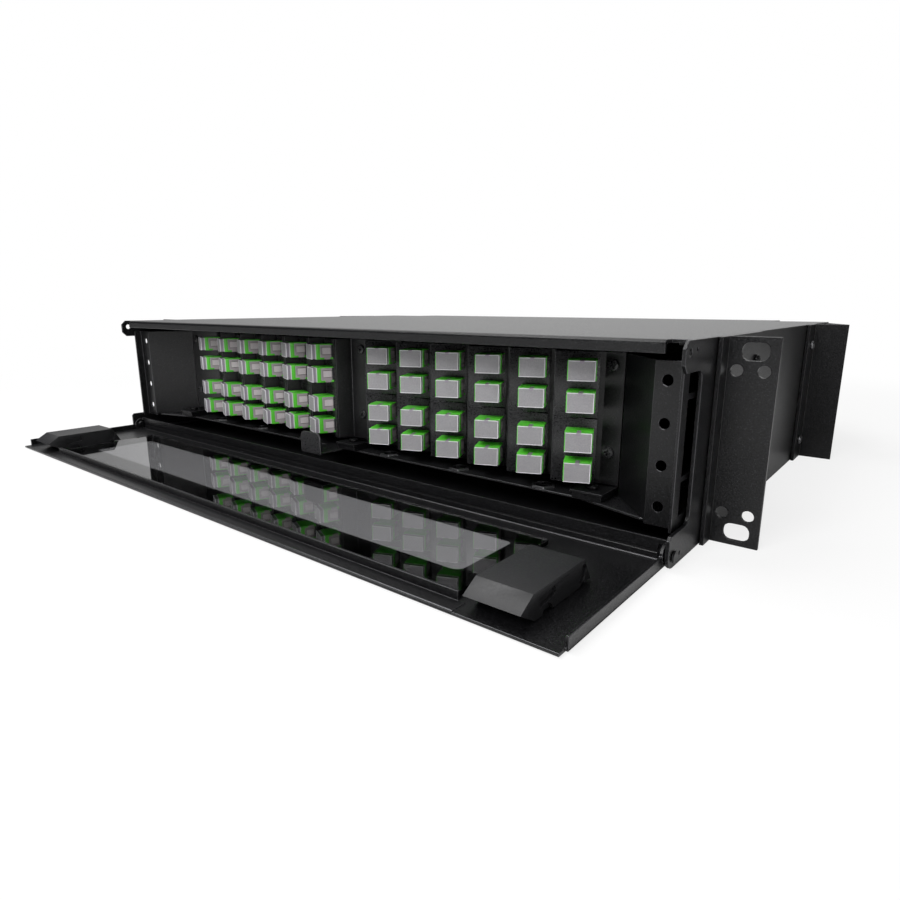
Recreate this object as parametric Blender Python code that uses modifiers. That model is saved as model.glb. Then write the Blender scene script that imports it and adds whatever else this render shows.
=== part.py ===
"""Two-unit rack fibre distribution box with a drop-down window door.

Units are metres. X runs to the right, Y to the back and Z up. The origin is the centre of the
underside of the base pan. The door is modelled open, lying level in front of the box.
"""

import math

import bmesh
import bpy
from mathutils import Matrix, Vector

# Driving sizes of the housing
WIDTH = 0.4398
HEIGHT = 0.0880
DEPTH = 0.3380
SHEET = 0.0015
GAP = 0.0003
BEND_RADIUS = 0.0017

# Side plates, measured back from their front edges
NOTCH_DEPTH = 0.0210
NOTCH_LOW = 0.0140
NOTCH_HIGH = 0.0760
NOTCH_RADIUS = 0.0040
LUG_CHAMFER = 0.0030
PLATE_FLANGE = 0.0100
CORNER_WIDTH = 0.0379
CORNER_DEPTH = 0.0280

# Base pan and cover
PAN_FRONT = 0.0090
PORT_RADIUS = 0.0100
PORT_HEIGHT = 0.0400
COVER_FRONT = 0.0023
LIP_DROP = 0.0051
LIP_END = 0.0085
GROOVE_BACK = 0.0030

# Rack ears
EAR_SHEET = 0.0018
FRONT_EAR_Y = 0.0452
FRONT_EAR_REACH = 0.0211
FRONT_LEG_AHEAD = 0.0087
FRONT_LEG_LENGTH = 0.0640
EAR_SLOT_LENGTH = 0.0104
EAR_SLOT_HEIGHT = 0.0073
EAR_SLOT_RADIUS = 0.0030
EAR_SLOT_IN = 0.0059
EAR_HOLE_RADIUS = 0.0025
EAR_HOLE_SPACING = 0.0103
EAR_HOLE_IN = 0.0137
EAR_HOLE_CENTRE = 0.0108
EAR_SLOT_CENTRE = 0.0121
REAR_EAR_Y = 0.2445
REAR_EAR_REACH = 0.0203
REAR_LEG_AHEAD = 0.0190
REAR_BRACE_X = 0.0035
REAR_BRACE_Y = 0.0360
EAR_SCREW_IN = 0.0130

# Door hinge and door
HINGE_Y = 0.0049
HINGE_Z = 0.0051
PIN_RADIUS = 0.0015
PIN_CLEARANCE = 0.0003
PIN_HEAD_RADIUS = 0.0027
PIN_HEAD_DEPTH = 0.0014
DETENT_RADIUS = 0.0009
DETENT_Y = 0.0124
DOOR_SHEET = 0.0012
DOOR_LIFT = 0.0003
DOOR_SIDE_GAP = 0.0011
DOOR_REACH = 0.0784
DOOR_BACK = 0.0076
DOOR_BACK_FLANGE = 0.0101
DOOR_SIDE_FLANGE = 0.0052
DOOR_SIDE_FRONT = 0.0742
DOOR_CORNER_IN = 0.0009
DOOR_EAR_RADIUS = 0.0046
DOOR_RELIEF = 0.0028
DOOR_RELIEF_TOP = 0.0083
DOOR_HEM_BACK = 0.0710
DOOR_HEM_END = 0.0023
DOOR_HEM_RISE = 0.0020
STIFFENER_Y = 0.0702
STIFFENER_END = 0.0052
STIFFENER_TOP = 0.0054
WINDOW_FRAME = 0.0120
WINDOW_FRONT = 0.0535
WINDOW_BACK = 0.0150
WINDOW_RADIUS = 0.0040
PANE_END = 0.0068
PANE_FRONT = 0.0699
PANE_BACK = 0.0060
PANE_THICKNESS = 0.0020

# Door latches
LATCH_EDGE = 0.0160
LATCH_WIDTH = 0.0225
LATCH_TIP = 0.0726
LATCH_TIP_HIGH = 0.0090
LATCH_TIP_LOW = 0.0052
LATCH_TOP = 0.0117
LATCH_TOP_FRONT = 0.0683
LATCH_TOP_BACK = 0.0331
LATCH_SOLE_FRONT = 0.0670
LATCH_SOLE_BACK = 0.0360
LATCH_HOOK = 0.0280
LATCH_HOOK_LOW = 0.0026
LATCH_POCKET = 0.0014
LATCH_FOOT_RADIUS = 0.0030
LATCH_TRAVEL = 0.0030

# Adapter tray
TRAY_SHEET = 0.0012
TRAY_TOP = 0.0140
TRAY_FRONT = 0.0255
TRAY_FLARE = 0.0139
TRAY_BACK = 0.2700
TRAY_SIDE_GAP = 0.0012
TRAY_END = 0.0022
STRIP_Y = 0.0130
STRIP_WIDTH = 0.0117
CHEEK_RUN = 0.0224
STRIP_TOP = 0.0797
STRIP_HOLE_RADIUS = 0.0022
STRIP_HOLE_IN = 0.0052
STRIP_HOLE_FIRST = 0.0211
STRIP_HOLE_PITCH = 0.0170
STRIP_HOLES = 4
WALL_FRONT = 0.0082
WALL_BACK = 0.0700
RUNG_HEIGHTS = (0.0332, 0.0660)
RUNG_HALF = 0.0011
WALL_WINDOW_LOW = 0.0180
WALL_WINDOW_HIGH = 0.0766
WALL_WINDOW_FRONT = 0.0150
WALL_WINDOW_BACK = 0.0560
PULL_HALF = 0.0090
PULL_FRONT = 0.0060
PULL_TOP = 0.0260
PULL_CORNER = 0.0035
NUT_RADIUS = 0.0062
NUT_HOLE = 0.0042
NUT_HEIGHT = 0.0010
NUT_Y = 0.0315
NUT_FIRST = 0.0422
NUT_PITCH = 0.0520
NUT_GROUP = 0.1800
NUTS = 3
SUPPORT_Y = (0.0700, 0.2400)
SUPPORT_END = 0.0270
SUPPORT_WIDTH = 0.0160

# Adapter banks: a folded sheet with one slanted facet for each column of adapters
BANK_SHEET = 0.0012
COLUMNS = 6
COLUMN_PITCH = 0.0251
FACET_YAW = math.radians(23.5)
FACET_TIP_Y = 0.0283
FACET_BACK_Y = 0.0374
RIGHT_FIRST_TIP = 0.0262
LEFT_FIRST_TIP = 0.0006
BANK_BOTTOM = 0.0186
BANK_TOP = 0.0800
BANK_WINDOW_HALF = 0.0068
BANK_WINDOW_LOW = 0.0205
BANK_WINDOW_HIGH = 0.0785
BANK_SCREW_INSET = 0.0058
BANK_SCREW_HEIGHTS = (0.0338, 0.0740)
FOOT_WIDTH = 0.0160
FOOT_FRONT = 0.0215
FOOT_TOP = 0.0183
FOOT_INSET = 0.0008
FOOT_SCREW_Y = 0.0288
FOOT_SCREW_LENGTH = 0.0050

# Adapters and their dust caps
PLATE_THICKNESS = 0.0012
PLATE_BOTTOM = 0.0187
ADAPTER_ALONG = 0.0130
ADAPTER_ALONG_LEFT = 0.0113
ROW_HEIGHTS = (0.0264, 0.0403, 0.0582, 0.0723)
SEAM_HEIGHT = 0.0494
SEAM_STEP = 0.0005
ADAPTER_WIDTH = 0.0128
ADAPTER_HEIGHT = 0.0093
ADAPTER_REACH = 0.0109
ADAPTER_TAIL = 0.0130
RIM_WIDTH = 0.0132
RIM_HEIGHT = 0.0097
RIM_DEPTH = 0.0005
CAP_WIDTH = 0.0126
CAP_HEIGHT = 0.0091
CAP_REACH = 0.0030
KEY_WIDTH = 0.0020
KEY_LENGTH = 0.0037
KEY_DEPTH = 0.0008

# Screws
SCREW_SHANK = 0.0014
SCREW_HEAD = 0.0028
SCREW_RISE = 0.0016
FLAT_RISE = 0.0007
SCREW_FACETS = 10

# Splice cassette and fibre guides, on the tray behind the adapters
CASSETTE_HALF = 0.0800
CASSETTE_FRONT = 0.1300
CASSETTE_BACK = 0.2300
CASSETTE_HEIGHT = 0.0120
CASSETTE_WALL = 0.0016
LID_THICKNESS = 0.0016
SPOOL_END = 0.0750
SPOOL_Y = 0.1700
SPOOL_RADIUS = 0.0320
SPOOL_LIP = 0.0040
SPOOL_HEIGHT = 0.0200
SPOOL_WALL = 0.0020
GROMMET_LIP = 0.0025
GROMMET_WALL = 0.0020

FRONT = -DEPTH / 2
CURVE_STEPS = 4
TURN_STEPS = 16
PARTS = "fiber_distribution_box"
CUTTERS = "cutters"


def back(distance):
    """World Y of a place that lies this far behind the side plates' front edges."""
    return FRONT + distance


def door_half():
    """Half the width of the door, from its clearance to the side plates."""
    return WIDTH / 2 - SHEET - DOOR_SIDE_GAP


def latch_outer():
    """Distance of a latch's outer side from the middle of the door."""
    return door_half() - LATCH_EDGE


def latch_inner():
    """Distance of a latch's inner side from the middle of the door."""
    return latch_outer() - LATCH_WIDTH


def latch_middle():
    """Distance of a latch's centre from the middle of the door."""
    return (latch_inner() + latch_outer()) / 2


def wall_face():
    """Outer side of the tray's walls, beside the side plates."""
    return WIDTH / 2 - SHEET - TRAY_SIDE_GAP


def strip_outer():
    """Where the drilled strips meet the tray's walls."""
    return wall_face() - TRAY_SHEET


def strip_inner():
    """Where the drilled strips meet the slanted cheeks."""
    return strip_outer() - STRIP_WIDTH


def bank_outer():
    """Outer end of the adapter bank, by the back of the cheeks."""
    return strip_inner() - CHEEK_RUN


def clear_scene():
    """Remove every object of the open scene."""
    for obj in list(bpy.data.objects):
        bpy.data.objects.remove(obj, do_unlink=True)


def collection_named(name):
    """Make a collection in the scene."""
    made = bpy.data.collections.new(name)
    bpy.context.scene.collection.children.link(made)
    return made


def material_of(name, colour, roughness, metallic=0.0, alpha=1.0):
    """A plain Principled material."""
    made = bpy.data.materials.new(name)
    made.use_nodes = True
    shader = made.node_tree.nodes["Principled BSDF"]
    shader.inputs["Base Color"].default_value = (*colour, 1.0)
    shader.inputs["Roughness"].default_value = roughness
    shader.inputs["Metallic"].default_value = metallic
    shader.inputs["Alpha"].default_value = alpha
    made.diffuse_color = (*colour, alpha)
    return made


def add_object(name, mesh, collection=CUTTERS, material=None):
    """Put a mesh in the scene; a cutter is left out of renders."""
    obj = bpy.data.objects.new(name, mesh)
    bpy.data.collections[collection].objects.link(obj)
    if collection == CUTTERS:
        obj.hide_render = True
        obj.display_type = "WIRE"
    if material:
        mesh.materials.append(material)
    return obj


def mesh_from(bm, name):
    """Turn a bmesh into a mesh with outward faces."""
    bmesh.ops.recalc_face_normals(bm, faces=bm.faces)
    mesh = bpy.data.meshes.new(name)
    bm.to_mesh(mesh)
    bm.free()
    return mesh


def box(name, low, high):
    """A block between two corners."""
    bm = bmesh.new()
    bmesh.ops.create_cube(bm, size=1.0)
    size = Vector(high) - Vector(low)
    middle = (Vector(high) + Vector(low)) / 2
    place = Matrix.Translation(middle) @ Matrix.Diagonal((*size, 1.0))
    bmesh.ops.transform(bm, matrix=place, verts=bm.verts)
    return add_object(name, mesh_from(bm, name))


def rod(name, start, end, radius, facets=TURN_STEPS):
    """A cylinder or prism between two points."""
    start, end = Vector(start), Vector(end)
    along = end - start
    bm = bmesh.new()
    bmesh.ops.create_cone(
        bm, cap_ends=True, segments=facets, radius1=radius, radius2=radius, depth=along.length
    )
    turn = along.to_track_quat("Z", "Y").to_matrix().to_4x4()
    bmesh.ops.transform(bm, matrix=Matrix.Translation((start + end) / 2) @ turn, verts=bm.verts)
    return add_object(name, mesh_from(bm, name))


AXES_OF_OUTLINE = {
    "Z": Matrix.Identity(4),
    "X": Matrix(((0, 0, 1, 0), (1, 0, 0, 0), (0, 1, 0, 0), (0, 0, 0, 1))),
    "Y": Matrix(((1, 0, 0, 0), (0, 0, 1, 0), (0, 1, 0, 0), (0, 0, 0, 1))),
}


def outline_plate(name, outlines, axis, low, high):
    """A flat outline, with holes as further outlines, made as thick as low to high along an axis.

    Outlines hold (x, y) points for axis Z, (y, z) points for axis X and (x, z) points for axis Y.
    """
    curve = bpy.data.curves.new(name, "CURVE")
    curve.dimensions = "2D"
    curve.fill_mode = "BOTH"
    curve.extrude = (high - low) / 2
    for outline in outlines:
        spline = curve.splines.new("POLY")
        spline.points.add(len(outline) - 1)
        for point, (u, v) in zip(spline.points, outline):
            point.co = (u, v, 0, 1)
        spline.use_cyclic_u = True
    holder = bpy.data.objects.new(name, curve)
    bpy.context.scene.collection.objects.link(holder)
    holder.matrix_world = AXES_OF_OUTLINE[axis] @ Matrix.Translation((0, 0, (low + high) / 2))
    bpy.context.view_layer.update()
    graph = bpy.context.evaluated_depsgraph_get()
    mesh = bpy.data.meshes.new_from_object(holder.evaluated_get(graph))
    mesh.transform(holder.matrix_world)
    bpy.data.objects.remove(holder, do_unlink=True)
    bm = bmesh.new()
    bm.from_mesh(mesh)
    bmesh.ops.remove_doubles(bm, verts=bm.verts, dist=1e-6)
    bmesh.ops.dissolve_limit(bm, angle_limit=math.radians(0.1), verts=bm.verts, edges=bm.edges)
    return add_object(name, mesh_from(bm, name))


def folded_sheet(name, path, thickness, low, high, axis="Z", side=1.0):
    """A sheet folded along a path and as wide as low to high along an axis.

    The path lies in plan for axis Z and in the (y, z) plane for axis X. The side says on which
    side of the path the thickness goes.
    """
    bm = bmesh.new()
    frame = AXES_OF_OUTLINE[axis]
    rows = [[bm.verts.new(frame @ Vector((u, v, level))) for u, v in path] for level in (low, high)]
    for index in range(len(path) - 1):
        bm.faces.new((rows[0][index], rows[0][index + 1], rows[1][index + 1], rows[1][index]))
    mesh = bpy.data.meshes.new(name)
    bm.to_mesh(mesh)
    bm.free()
    obj = add_object(name, mesh)
    solid = obj.modifiers.new("thickness", "SOLIDIFY")
    solid.thickness = thickness
    solid.offset = side
    solid.use_even_offset = True
    return apply_modifiers(obj)


def turned(name, profile, place, direction, facets=TURN_STEPS, closed=False):
    """A turned piece: (radius, height) points, run down the outer side, swept about an axis."""
    bm = bmesh.new()
    points = [bm.verts.new((radius, 0, height)) for radius, height in profile]
    pairs = zip(points, points[1:] + points[:1]) if closed else zip(points, points[1:])
    for first, second in pairs:
        bm.edges.new((first, second))
    mesh = bpy.data.meshes.new(name)
    bm.to_mesh(mesh)
    bm.free()
    obj = add_object(name, mesh)
    screw = obj.modifiers.new("turn", "SCREW")
    screw.steps = facets
    screw.render_steps = facets
    screw.use_merge_vertices = True
    screw.merge_threshold = 1e-6
    apply_modifiers(obj)
    turn = Vector(direction).to_track_quat("Z", "Y").to_matrix().to_4x4()
    obj.data.transform(Matrix.Translation(place) @ turn)
    return obj


def apply_modifiers(obj):
    """Give an object the mesh that its modifiers make, and remove them."""
    bpy.context.view_layer.update()
    graph = bpy.context.evaluated_depsgraph_get()
    mesh = bpy.data.meshes.new_from_object(obj.evaluated_get(graph))
    old = obj.data
    obj.modifiers.clear()
    obj.data = mesh
    bpy.data.meshes.remove(old)
    return obj


def combine(target, others, operation):
    """Add to an object one Boolean modifier for each of the other objects."""
    for other in others:
        modifier = target.modifiers.new(other.name, "BOOLEAN")
        modifier.operation = operation
        modifier.solver = "EXACT"
        modifier.object = other
    return target


def join(target, *others):
    """Unite other pieces with this one."""
    return combine(target, others, "UNION")


def cut(target, *others):
    """Cut other pieces out of this one."""
    return combine(target, others, "DIFFERENCE")


def finish(obj, name, material, parent=None):
    """Make a built shape a named part of the box, with its finish and its carrier."""
    obj.name = name
    obj.data.name = name
    bpy.data.collections[CUTTERS].objects.unlink(obj)
    bpy.data.collections[PARTS].objects.link(obj)
    obj.hide_render = False
    obj.display_type = "TEXTURED"
    obj.data.materials.clear()
    obj.data.materials.append(material)
    obj.data.shade_smooth()
    obj.data.set_sharp_from_angle(angle=math.radians(30))
    if parent:
        obj.parent = parent
        obj.matrix_parent_inverse = parent.matrix_world.inverted()
    return obj


def arc(centre, radius, start, end, steps=CURVE_STEPS):
    """Points of a circular arc, with angles in degrees."""
    angles = [math.radians(start + (end - start) * step / steps) for step in range(steps + 1)]
    return [(centre[0] + radius * math.cos(a), centre[1] + radius * math.sin(a)) for a in angles]


def rounded_rectangle(low, high, radius, steps=CURVE_STEPS):
    """Outline of a rectangle with rounded corners."""
    (left, bottom), (right, top) = low, high
    corners = (
        (right - radius, top - radius, 0),
        (left + radius, top - radius, 90),
        (left + radius, bottom + radius, 180),
        (right - radius, bottom + radius, 270),
    )
    points = []
    for x, y, angle in corners:
        points += arc((x, y), radius, angle, angle + 90, steps)
    return points


def mirrored(points, side):
    """Points of an outline mirrored to the left where side is -1."""
    return [(side * u, v) for u, v in points]


def corner_notched_outline(half, front, rear):
    """Plan of the pan and the cover, whose rear corners are cut back for the cables."""
    inner = WIDTH / 2 - CORNER_WIDTH
    return [
        (-half, front),
        (half, front),
        (half, rear - CORNER_DEPTH),
        (inner, rear - CORNER_DEPTH),
        (inner, rear),
        (-inner, rear),
        (-inner, rear - CORNER_DEPTH),
        (-half, rear - CORNER_DEPTH),
    ]


def port_places():
    """Centres of the cable ports in the two rear corner walls."""
    across = WIDTH / 2 - CORNER_WIDTH / 2
    return [(side * across, back(DEPTH - CORNER_DEPTH), PORT_HEIGHT) for side in (-1, 1)]


def build_base_pan(finish_of):
    """Floor and rear wall, folded from one sheet, with the notched rear corners."""
    half = WIDTH / 2 - SHEET - GAP
    inner = WIDTH / 2 - CORNER_WIDTH
    rear = back(DEPTH)
    pan = outline_plate("pan_floor", [corner_notched_outline(half, back(PAN_FRONT), rear)], "Z", 0, SHEET)
    path = [
        (-half, rear - CORNER_DEPTH),
        (-inner, rear - CORNER_DEPTH),
        (-inner, rear),
        (inner, rear),
        (inner, rear - CORNER_DEPTH),
        (half, rear - CORNER_DEPTH),
    ]
    wall = folded_sheet("pan_wall", path, SHEET, SHEET / 2, HEIGHT - SHEET - GAP, side=1.0)
    join(pan, wall)
    for place in port_places():
        x, y, z = place
        cut(pan, rod("port", (x, y - 4 * SHEET, z), (x, y + 4 * SHEET, z), PORT_RADIUS))
    return finish(pan, "base_pan", finish_of["steel"])


def side_plate_outline():
    """Side view of a side plate: two front lugs with the open cable notch between them."""
    front, notch = back(0), back(NOTCH_DEPTH)
    rear = back(DEPTH - CORNER_DEPTH)
    radius = NOTCH_RADIUS
    points = [(rear, 0), (rear, HEIGHT)]
    points += [(front + LUG_CHAMFER, HEIGHT), (front, HEIGHT - LUG_CHAMFER)]
    points += [(front, NOTCH_HIGH + LUG_CHAMFER), (front + LUG_CHAMFER, NOTCH_HIGH)]
    points += arc((notch - radius, NOTCH_HIGH - radius), radius, 90, 0)
    points += arc((notch - radius, NOTCH_LOW + radius), radius, 0, -90)
    points += [(front + LUG_CHAMFER / 2, NOTCH_LOW), (front, NOTCH_LOW - LUG_CHAMFER / 2)]
    points += arc((back(HINGE_Y), HINGE_Z), HINGE_Y, 180, 270)
    return points


def build_side_plate(side, name, finish_of):
    """One side plate with its folded top and bottom flanges and the hinge bores."""
    outer = side * WIDTH / 2
    inner = side * (WIDTH / 2 - SHEET)
    low, high = min(outer, inner), max(outer, inner)
    plate = outline_plate(name, [side_plate_outline()], "X", low, high)
    reach = side * (WIDTH / 2 - SHEET - PLATE_FLANGE)
    over = side * (WIDTH / 2 - SHEET / 2)
    flange_x = (min(reach, over), max(reach, over))
    flange_y = (back(TRAY_FRONT), back(DEPTH - CORNER_DEPTH - 4 * SHEET))
    bottom = SHEET + GAP
    top = HEIGHT - SHEET - GAP
    for level, tag in ((bottom, "_foot"), (top - SHEET, "_shelf")):
        flange = box(
            name + tag, (flange_x[0], flange_y[0], level), (flange_x[1], flange_y[1], level + SHEET)
        )
        join(plate, flange)
    for z in (HINGE_Z, HEIGHT - HINGE_Z + SHEET / 4):
        cut(plate, rod(name + "_bore", (low - SHEET, back(HINGE_Y), z), (high + SHEET, back(HINGE_Y), z),
                       PIN_RADIUS + PIN_CLEARANCE))
    for z in (HINGE_Z - SHEET / 2, HEIGHT - HINGE_Z + SHEET):
        cut(plate, rod(name + "_detent", (low - SHEET, back(DETENT_Y), z), (high + SHEET, back(DETENT_Y), z),
                       DETENT_RADIUS, SCREW_FACETS))
    for place in ear_screw_places(side):
        cut(plate, screw_bore(name + "_tap", place, (side, 0, 0)))
    return finish(plate, name, finish_of["steel"])


def ear_screw_places(side):
    """Seats of the four screws that hold the front and the rear ear of one side."""
    seat = side * (WIDTH / 2 + GAP + EAR_SHEET)
    front = back(FRONT_EAR_Y - FRONT_LEG_AHEAD + FRONT_LEG_LENGTH - FRONT_LEG_AHEAD)
    rear = back(REAR_EAR_Y - REAR_LEG_AHEAD / 2)
    return [(seat, y, z) for y in (front, rear) for z in (EAR_SCREW_IN, HEIGHT - EAR_SCREW_IN)]


def screw_bore(name, place, direction):
    """Cutter for a screw's clearance hole, through everything below its head."""
    place, direction = Vector(place), Vector(direction)
    return rod(name, place + direction * EAR_SHEET, place - direction * 3 * EAR_SHEET,
               SCREW_SHANK + GAP, SCREW_FACETS)


def build_screw(name, place, direction, length, finish_of, rise=SCREW_RISE):
    """Pan head screw whose head stands a gap above its seat."""
    profile = [
        (0, rise + GAP),
        (SCREW_HEAD * 0.8, rise + GAP),
        (SCREW_HEAD, GAP),
        (SCREW_SHANK, GAP),
        (SCREW_SHANK, -length),
        (0, -length),
    ]
    return finish(turned(name, profile, place, direction, SCREW_FACETS), name, finish_of["screw"])


def build_top_cover(finish_of):
    """Flat cover with a folded front lip and a pressed line behind the fold."""
    half = WIDTH / 2 - SHEET - GAP
    lip_half = WIDTH / 2 - LIP_END
    low = HEIGHT - SHEET
    front, rear = back(COVER_FRONT), back(DEPTH)
    corner = (front + BEND_RADIUS, HEIGHT - BEND_RADIUS)
    profile = [(rear, HEIGHT)] + arc(corner, BEND_RADIUS, 90, 180)
    profile += [(front, HEIGHT - LIP_DROP), (front + SHEET, HEIGHT - LIP_DROP)]
    profile += [(front + SHEET, low), (rear, low)]
    cover = outline_plate("cover", [profile], "X", -half, half)
    for side in (-1, 1):
        ends = sorted((side * lip_half, side * (half + SHEET)))
        cut(cover, box("cover_end", (ends[0], front - SHEET, HEIGHT - LIP_DROP - SHEET),
                       (ends[1], back(PAN_FRONT), HEIGHT + SHEET)))
        ends = sorted((side * (WIDTH / 2 - CORNER_WIDTH), side * (half + SHEET)))
        cut(cover, box("cover_corner", (ends[0], rear - CORNER_DEPTH, low - SHEET),
                       (ends[1], rear + SHEET, HEIGHT + SHEET)))
    groove_y = front + GROOVE_BACK
    cut(cover, box("cover_groove", (-lip_half - SHEET, groove_y, HEIGHT - SHEET / 3),
                   (lip_half + SHEET, groove_y + SHEET / 3, HEIGHT + SHEET)))
    return finish(cover, "top_cover", finish_of["steel"])


def build_front_ear(side, name, finish_of):
    """Front rack ear: a flange on a leg strap, with rack slots and round holes."""
    wall = WIDTH / 2 + GAP
    face = back(FRONT_EAR_Y)
    leg_front = face - FRONT_LEG_AHEAD
    leg_x = sorted((side * wall, side * (wall + EAR_SHEET)))
    ear = box(name, (leg_x[0], leg_front, 0), (leg_x[1], leg_front + FRONT_LEG_LENGTH, HEIGHT))
    tip = side * (wall + FRONT_EAR_REACH)
    flange_x = sorted((side * (wall + EAR_SHEET / 2), tip))
    join(ear, box(name + "_flange", (flange_x[0], face, 0), (flange_x[1], face + EAR_SHEET, HEIGHT)))
    slot_x = side * (wall + EAR_SLOT_CENTRE)
    slot_half = (EAR_SLOT_LENGTH / 2, EAR_SLOT_HEIGHT / 2)
    for z in (EAR_SLOT_IN, HEIGHT - EAR_SLOT_IN):
        slot = rounded_rectangle((slot_x - slot_half[0], z - slot_half[1]),
                                 (slot_x + slot_half[0], z + slot_half[1]), EAR_SLOT_RADIUS)
        cut(ear, outline_plate(name + "_slot", [slot], "Y", face - SHEET, face + 3 * SHEET))
    for z in (EAR_HOLE_IN, HEIGHT - EAR_HOLE_IN):
        for shift in (-EAR_HOLE_SPACING / 2, EAR_HOLE_SPACING / 2):
            x = side * (wall + EAR_HOLE_CENTRE) + shift
            cut(ear, rod(name + "_hole", (x, face - SHEET, z), (x, face + 3 * SHEET, z), EAR_HOLE_RADIUS))
    for place in ear_screw_places(side)[:2]:
        cut(ear, screw_bore(name + "_bore", place, (side, 0, 0)))
    return finish(ear, name, finish_of["steel"])


def build_rear_ear(side, name, finish_of):
    """Rear ear folded from one sheet: a leg on the wall, the flange and the brace behind it."""
    wall = WIDTH / 2 + GAP
    face = back(REAR_EAR_Y)
    path = [
        (wall + EAR_SHEET, face - REAR_LEG_AHEAD),
        (wall + EAR_SHEET, face),
        (wall + REAR_EAR_REACH, face),
        (wall + REAR_BRACE_X, face + REAR_BRACE_Y),
    ]
    ear = folded_sheet(name, mirrored(path, side), EAR_SHEET, 0, HEIGHT, side=-side)
    for place in ear_screw_places(side)[2:]:
        cut(ear, screw_bore(name + "_bore", place, (side, 0, 0)))
    return finish(ear, name, finish_of["steel"])


def build_hinge_pin(side, name, finish_of):
    """Headed pin through a side plate lug and the door's hinge ear."""
    inner_seat = door_half() - DOOR_SHEET
    outer_seat = WIDTH / 2 + GAP
    profile = [
        (0, outer_seat + PIN_HEAD_DEPTH / 2),
        (PIN_HEAD_RADIUS * 0.8, outer_seat + PIN_HEAD_DEPTH / 2),
        (PIN_HEAD_RADIUS, outer_seat),
        (PIN_RADIUS, outer_seat),
        (PIN_RADIUS, inner_seat - GAP),
        (PIN_HEAD_RADIUS, inner_seat - GAP),
        (PIN_HEAD_RADIUS * 0.7, inner_seat - GAP - PIN_HEAD_DEPTH),
        (0, inner_seat - GAP - PIN_HEAD_DEPTH),
    ]
    pin = turned(name, profile, (0, back(HINGE_Y), HINGE_Z), (side, 0, 0), TURN_STEPS)
    return finish(pin, name, finish_of["screw"])


def build_door_panel(axis, finish_of):
    """Drop-down door: flat sheet with a window, folded flanges, a hemmed front and hinge ears."""
    half = door_half()
    low, top = DOOR_LIFT, DOOR_LIFT + DOOR_SHEET
    front, rear = back(-DOOR_REACH), back(DOOR_BACK)
    bend = (rear - BEND_RADIUS, low + BEND_RADIUS)
    inner_bend = BEND_RADIUS - DOOR_SHEET
    flange_top = low + DOOR_BACK_FLANGE
    profile = [(front, low)] + arc(bend, BEND_RADIUS, 270, 360)
    profile += [(rear, flange_top), (rear - DOOR_SHEET, flange_top)]
    profile += arc(bend, inner_bend, 360, 270, 2) + [(front, top)]
    panel = outline_plate("door_sheet", [profile], "X", -half + GAP / 2, half - GAP / 2)
    for side in (-1, 1):
        relief = sorted((side * (half + DOOR_SHEET), side * (half - DOOR_SHEET - DOOR_RELIEF)))
        cut(panel, box("door_relief", (relief[0], rear - 2 * DOOR_SHEET, low + BEND_RADIUS),
                       (relief[1], rear + DOOR_SHEET, DOOR_RELIEF_TOP)))
        corner = sorted((side * (half + DOOR_SHEET), side * (half - DOOR_CORNER_IN)))
        cut(panel, box("door_corner", (corner[0], front - DOOR_SHEET, low - DOOR_SHEET),
                       (corner[1], back(-DOOR_SIDE_FRONT), top + DOOR_SHEET)))
        edge = sorted((side * half, side * (half - DOOR_SHEET)))
        strip = box("door_side", (edge[0], back(-DOOR_SIDE_FRONT), low + DOOR_SHEET / 2),
                    (edge[1], back(HINGE_Y) - DOOR_SHEET, low + DOOR_SIDE_FLANGE))
        ear = rod("door_ear", (edge[0] - GAP / 4, back(HINGE_Y), HINGE_Z),
                  (edge[1] + GAP / 4, back(HINGE_Y), HINGE_Z), DOOR_EAR_RADIUS)
        join(panel, strip, ear)
    hem_half, stiffener_half = latch_inner() - DOOR_HEM_END, latch_inner() - STIFFENER_END
    window_half = latch_inner() - PANE_END - WINDOW_FRAME
    hem = [
        (front - GAP / 4, low + DOOR_SHEET / 2),
        (back(-DOOR_HEM_BACK), low + DOOR_SHEET / 2),
        (back(-DOOR_HEM_BACK), DOOR_HEM_RISE),
        (front + GAP, DOOR_HEM_RISE),
        (front - GAP / 4, DOOR_HEM_RISE - GAP),
    ]
    join(panel, outline_plate("door_hem", [hem], "X", -hem_half, hem_half))
    join(panel, box("door_stiffener",
                    (-stiffener_half, back(-STIFFENER_Y) - DOOR_SHEET, top - DOOR_SHEET / 2),
                    (stiffener_half, back(-STIFFENER_Y), STIFFENER_TOP)))
    window = rounded_rectangle((-window_half, back(-WINDOW_FRONT)),
                               (window_half, back(-WINDOW_BACK)), WINDOW_RADIUS)
    cut(panel, outline_plate("door_window_cut", [window], "Z", low - SHEET, top + SHEET))
    cut(panel, rod("door_bore", (-WIDTH / 2, back(HINGE_Y), HINGE_Z), (WIDTH / 2, back(HINGE_Y), HINGE_Z),
                   PIN_RADIUS + PIN_CLEARANCE))
    for side in (-1, 1):
        cut(panel, latch_slot(side))
    return finish(panel, "door_panel", finish_of["steel"], axis)


def latch_foot_y():
    """World Y of the guide foot under a latch, at rest."""
    return back(-(LATCH_TOP_FRONT + LATCH_TOP_BACK) / 2)


def latch_slot(side):
    """Cutter for the door slot that a latch's guide foot runs in."""
    radius = LATCH_FOOT_RADIUS + GAP
    x = side * latch_middle()
    y = latch_foot_y()
    outline = arc((x, y + LATCH_TRAVEL), radius, 0, 180) + arc((x, y), radius, 180, 360)
    return outline_plate("latch_slot", [outline], "Z", DOOR_LIFT - SHEET, DOOR_LIFT + DOOR_SHEET + SHEET)


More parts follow.
